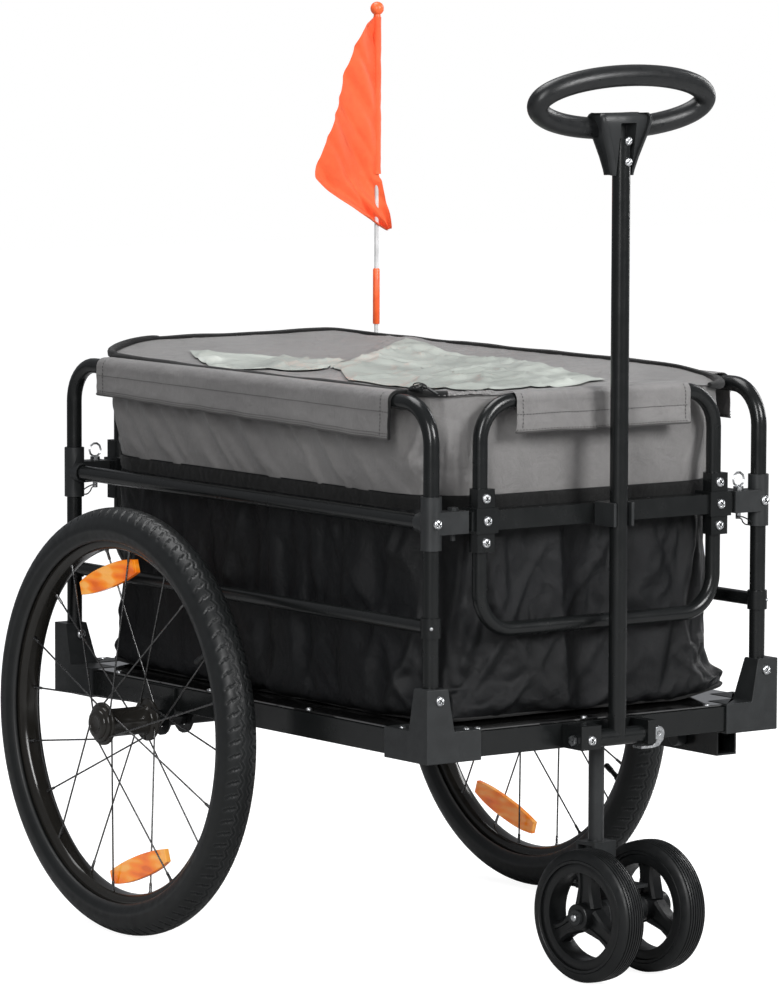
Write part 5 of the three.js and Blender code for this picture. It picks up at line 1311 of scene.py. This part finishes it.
def caster_wheel(side):
    centre = middle(f"{side}_caster_wheel")
    centre.z = CASTER_R
    half = CASTER_HALF
    profile = [(0.0602, -0.0138), (0.0602, -half), (0.0630, -half - 0.0001), (0.0635, -half + 0.0006),
               (0.0642, -half), (0.0676, -0.0158), (0.0710, -0.0142), (0.0731, -0.0132)]
    crown = []
    for g in GROOVES:
        top = CASTER_R - 0.0001 - 6.0 * g * g
        crown += [(top, g - 0.0009), (top - GROOVE_DEPTH, g - 0.0006), (top - GROOVE_DEPTH, g + 0.0006),
                  (top, g + 0.0009)]
    tyre_part = lathe(f"{side}_caster_tyre", and_mirrored(profile, crown), centre, CASTER_AXES, 96, 35)
    tyre_part.data.materials.append(CASTER_RUBBER)
    hoop = [(0.0604, -0.0136), (0.0590, -0.0143), (0.0510, -0.0143), (0.0492, -0.0134), (0.0486, -0.0100)]
    hub = [(0, -0.0222), (0.0050, -0.0222), (0.0060, -0.0212), (0.0062, -0.0192), (0.0142, -0.0190),
           (0.0150, -0.0182)]
    parts = [lathe("core", and_mirrored(edge, [(waist, 0.0)]), centre, CASTER_AXES, steps, 35)
             for edge, waist, steps in ((hoop, 0.0482, 96), (hub, 0.0156, 48))]
    for turn in (math.tau * i / 3 for i in range(3)):
        up_way = Z_WAY * math.cos(turn) - CASTER_BACK * math.sin(turn)
        across_way = CASTER_AXIS.cross(up_way)
        parts.append(skin("core", [[centre + up_way * r + across_way * u + CASTER_AXIS * t
                                    for u, t in caster_spoke_section(w)] for r, w in CASTER_SPOKE],
                          caps=False))
    core = joined(f"{side}_caster_core", parts)
    sharp_edges(core, 38)
    paint(core, CASTER_CORE)
    whole = joined(f"{side}_caster_whole", [tyre_part, core])
    sharp_edges(whole, 36)
    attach(whole, f"caster_{side}")
    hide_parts(f"{side}_caster_wheel")
    nut = joined(f"{side}_caster_axle_nut", [
        lathe("nut", [(0, d * 0.0222), (0.0034, d * 0.0222), (0.0040, d * 0.0226), (0.0040, d * 0.0244),
                      (0.0030, d * 0.0252), (0, d * 0.0254)], centre, CASTER_AXES, 6 if d > 0 else 24, 30)
        for d in (-1, 1)])
    finish(nut, ZINC, f"caster_{side}", "zinc_steel")


for caster_side, _ in SIDES:
    caster_wheel(caster_side)


# Safety flag: a two-piece rod in an orange ferrule, a ball on top, and a pennant on a sleeve.
FLAG_X, FLAG_Y = middle("flag_lower_rod").x, middle("flag_lower_rod").y
ROD_R, BALL_R = 0.0026, 0.0084
BALL_Z = high("flag_upper_rod").z - 0.0085


def rod_part(name, heights, radius, sides, material, *replaced):
    piece = tube(name, [Vector((FLAG_X, FLAG_Y, z)) for z in heights], radius, sides)
    finish(piece, material, "frame", "flag_rod", *replaced)


rod_part("flag_rod_lower", (low("flag_lower_rod").z, 0.50, 0.60, 0.70), ROD_R, 20, PALE_ROD,
         "flag_lower_rod")
rod_part("flag_ferrule", (0.680, 0.6806, 0.7475, 0.7492), [0.0038, 0.0043, 0.0043, 0.0034], 24, ORANGE)
rod_part("flag_rod_upper", (0.7150, 0.80, 0.90, 1.0, 1.068), ROD_R, 20, PALE_ROD, "flag_upper_rod")
ball = lathe("flag_ball", [(0, -0.0083)] + [(BALL_R * math.sin(a), -BALL_R * math.cos(a)) for a in
                                           (math.pi * i / 18 for i in range(1, 18))] + [(0, 0.0085)],
             Vector((FLAG_X, FLAG_Y, BALL_Z)), Z_AXES, 40, 60)
finish(ball, ORANGE, "frame", "flag_rod")
rod_part("flag_neck", (1.055, 1.0562, 1.0634, 1.066), [0.0036, 0.0044, 0.0044, 0.0030], 20, ORANGE)

# The pennant's two edges from top to foot, as (share of the run, x, z).
FLAG_LEFT = [(0.0, 0.2165, 1.0592), (0.05, 0.2030, 1.0470), (0.12, 0.1925, 1.0300), (0.30, 0.1766, 0.9850),
             (0.50, 0.1580, 0.9345), (0.70, 0.1380, 0.8800), (0.755, 0.1320, 0.8640),
             (0.80, 0.1480, 0.8495), (0.90, 0.1960, 0.8200), (1.0, 0.2400, 0.7960)]
FLAG_RIGHT = [(0.0, 0.2290, 1.0600), (0.12, 0.2290, 1.0270), (0.30, 0.2290, 0.9800), (0.50, 0.2290, 0.9280),
              (0.70, 0.2290, 0.8790), (0.755, 0.2290, 0.8660), (0.80, 0.2310, 0.8560),
              (0.90, 0.2375, 0.8300), (1.0, 0.2418, 0.7985)]


def along_edge(edge, u):
    """An edge's x and z at a share of its run."""
    for a, b in zip(edge, edge[1:]):
        if u <= b[0]:
            t = (u - a[0]) / (b[0] - a[0])
            return a[1] + (b[1] - a[1]) * t, a[2] + (b[2] - a[2]) * t
    return edge[-1][1], edge[-1][2]


FLAG_TOP_Z, SLEEVE_FOOT_Z, SLEEVE_TOP_Z = 1.0593, 0.8665, 1.0605
FLAG_ROWS, FLAG_COLUMNS = 70, 36
flag_back, flag_front = low("flag_cloth").y - 0.006, high("flag_cloth").y + 0.004
flag_vertices = []
for i in range(FLAG_ROWS + 1):
    u = i / FLAG_ROWS
    left_x, left_z = along_edge(FLAG_LEFT, u)
    right_x, right_z = along_edge(FLAG_RIGHT, u)
    for j in range(FLAG_COLUMNS + 1):
        t = j / FLAG_COLUMNS
        x, z = right_x + (left_x - right_x) * t, right_z + (left_z - right_z) * t
        free = smoothstep(0.0, 0.25, t) if u < 0.78 else 1.0
        wave = 0.0052 * math.sin(9.0 * (t * (0.4 + u)) + 25.2 * (FLAG_TOP_Z - z)) * free
        fold = 0.0042 * (ridges(x * 0.8 + (z - 0.9) * 0.55, 0, 0, 0, 46, 1, 3.7) - 0.4) * free
        hang = 0.006 * smoothstep(0.62, 0.80, u) * math.sin(math.pi * min(1.0, t * 1.1)) \
            - 0.010 * smoothstep(0.80, 1.0, u) * (1 - t)
        y = FLAG_Y - 0.0028 + wave * 0.7 + fold + hang
        flag_vertices.append(Vector((x, max(flag_back, min(flag_front, y)), z)))
pennant = new_object("flag_pennant", flag_vertices, quads(FLAG_ROWS + 1, FLAG_COLUMNS + 1, around=False))
subdivided(pennant)
finish(pennant, FLAG_CLOTH, "frame", "flag_cloth", "flag_cloth")
sleeve_heights = [SLEEVE_FOOT_Z + (SLEEVE_TOP_Z - SLEEVE_FOOT_Z) * i / 40 for i in range(41)]
sleeve = tube("flag_sleeve", [Vector((FLAG_X + 0.0006 * noise.noise(Vector((0, 3, z * 50))), FLAG_Y, z))
                              for z in sleeve_heights],
              [0.0052 + 0.0007 * noise.noise(Vector((5, 1, z * 70))) for z in sleeve_heights], 20)
finish(sleeve, FLAG_CLOTH, "frame", "flag_cloth")
flag_sewing = stitches("flag_stitches", [[Vector((FLAG_X - 0.0062, FLAG_Y - 0.0036, z))
                                          for z in sleeve_heights]], 0.005, 0.6, 0.0004, ORANGE)


# Spring clips of the quick pins, below the gates' arms.
CLIP_SCALE = 0.8
CLIP_POINTS = ((-0.004, 0.002, 0.004), (0.004, 0.0045, 0.003), (0.013, 0.006, -0.001),
               (0.020, 0.0055, -0.006), (0.021, 0.002, -0.009), (0.015, -0.001, -0.009),
               (0.008, 0.001, -0.005), (0.004, 0.0035, -0.001), (-0.001, 0.0042, 0.0015),
               (-0.006, 0.003, 0.002))


def curve_through(points):
    """A smooth path through points, in eight steps from each to the next."""
    result = []
    steps, last = 8, len(points) - 1
    for i in range(last):
        p0, p1, p2, p3 = (points[min(max(k, 0), last)] for k in range(i - 1, i + 3))
        for k in range(steps):
            t = k / steps
            result.append(0.5 * ((2 * p1) + (p2 - p0) * t + (2 * p0 - 5 * p1 + 4 * p2 - p3) * t * t
                                 + (3 * p1 - p0 - 3 * p2 + p3) * t ** 3))
    result.append(points[-1].copy())
    return result


for end, sign in ENDS:
    pin = middle(f"{end}_gate_quick_pin")
    pin.z = low(f"{end}_gate_quick_pin").z
    clip = curve_through([pin + Vector((-sign * dx, sign * dy, dz)) * CLIP_SCALE
                          for dx, dy, dz in CLIP_POINTS])
    finish(tube(f"{end}_pin_clip", clip, 0.0008, 8), FRAME_PAINT, "frame", "zinc_steel")


# Camera: the photograph's view, from a fit to the measured frame, wheels and handle.
IMAGE_WIDTH = 779
FOCAL_PIXELS = 5641.27
SENSOR = 36.0
AZIMUTH, ELEVATION, ROLL = (math.radians(a) for a in (-36.21, 5.74, 0.19))
CAMERA_DISTANCE = 6.60367
AIM_RIGHT, AIM_UP, AIM_HEIGHT = -0.02216, 0.06299, 0.45
back = Vector((math.sin(AZIMUTH) * math.cos(ELEVATION), -math.cos(AZIMUTH) * math.cos(ELEVATION),
               math.sin(ELEVATION)))
right = Vector((math.cos(AZIMUTH), math.sin(AZIMUTH), 0))
up = back.cross(right)
eye = at(0, 0, AIM_HEIGHT) + right * AIM_RIGHT + up * AIM_UP + back * CAMERA_DISTANCE
rolled_right = right * math.cos(ROLL) + up * math.sin(ROLL)
rolled_up = up * math.cos(ROLL) - right * math.sin(ROLL)
lens = bpy.data.cameras.new("camera")
lens.sensor_fit = "HORIZONTAL"
lens.sensor_width = SENSOR
lens.lens = FOCAL_PIXELS / IMAGE_WIDTH * SENSOR
lens.clip_end = 60
camera = linked("camera", lens)
camera.matrix_world = Matrix.Translation(eye) @ Matrix(
    (rolled_right, rolled_up, back)).transposed().to_4x4()
bpy.context.scene.camera = camera
bpy.context.scene.view_settings.view_transform = "Standard"


# Studio: a white floor that keeps the shadow, a pale world, four soft lamps.
def studio_floor():
    """White to the camera apart from the shadow; a calmer grey in what it throws back."""
    s = Surface("studio_floor", Roughness=0.95, Specular_IOR_Level=0.0)
    seen = s.node("ShaderNodeLightPath").outputs["Is Camera Ray"]
    s.put(s.shader, Base_Color=s.ramp(seen, [(0.0, 0.42), (1.0, 1.0)]))
    glow = s.put(s.node("ShaderNodeEmission"), Color=grey(1.0), Strength=1.53)
    mix = s.node("ShaderNodeMixShader")
    s.link(s.math("MULTIPLY", seen, 0.60), mix.inputs["Fac"])
    s.link(s.shader.outputs["BSDF"], mix.inputs[1])
    s.link(glow.outputs["Emission"], mix.inputs[2])
    s.link(mix.outputs["Shader"], s.output.inputs["Surface"])
    return s.material


FLOOR_HALF, FLOOR_GAP = 12, 0.0004
floor = new_object("studio_floor", [(x * FLOOR_HALF, y * FLOOR_HALF, 0) for x, y in (
    (-1, -1), (1, -1), (1, 1), (-1, 1))], [(0, 1, 2, 3)])
floor.location.z = -FLOOR_GAP
floor.data.materials.append(studio_floor())

# A pale sky that lights the part, and white behind it where the camera looks, also through the film.
world = bpy.data.worlds.new("studio_world")
bpy.context.scene.world = world
world.use_nodes = True
tree = world.node_tree
tree.nodes.clear()
sky, white = (tree.nodes.new("ShaderNodeBackground") for _ in range(2))
for background, tone, strength in ((sky, tint(0.93, 0.95, 1.0), 0.26), (white, grey(1.0), 1.0)):
    background.inputs["Color"].default_value = tone
    background.inputs["Strength"].default_value = strength
rays = tree.nodes.new("ShaderNodeLightPath")
either = tree.nodes.new("ShaderNodeMath")
either.operation = "MAXIMUM"
blend = tree.nodes.new("ShaderNodeMixShader")
world_out = tree.nodes.new("ShaderNodeOutputWorld")
for source, target in ((rays.outputs["Is Camera Ray"], either.inputs[0]),
                       (rays.outputs["Is Transmission Ray"], either.inputs[1]),
                       (either.outputs[0], blend.inputs["Fac"]),
                       (sky.outputs[0], blend.inputs[1]), (white.outputs[0], blend.inputs[2]),
                       (blend.outputs[0], world_out.inputs["Surface"])):
    tree.links.new(source, target)


LAMP_AIM = Vector((0, 0.05, 0.45))


def lamp(name, place, size, power):
    light = bpy.data.lights.new(name, "AREA")
    light.shape = "RECTANGLE"
    light.size, light.size_y = size
    light.energy = power
    obj = linked(name, light)
    obj.location = Vector(place)
    obj.rotation_euler = (LAMP_AIM - Vector(place)).to_track_quat("-Z", "Y").to_euler()


lamp("key", (0.9, -3.6, 2.3), (1.3, 1.5), 140)
lamp("side", (-2.9, -2.7, 2.0), (0.8, 2.2), 98)
lamp("rim", (3.2, 0.4, 1.6), (0.5, 2.0), 30)
lamp("top", (-0.3, 0.9, 3.3), (2.2, 1.6), 62)
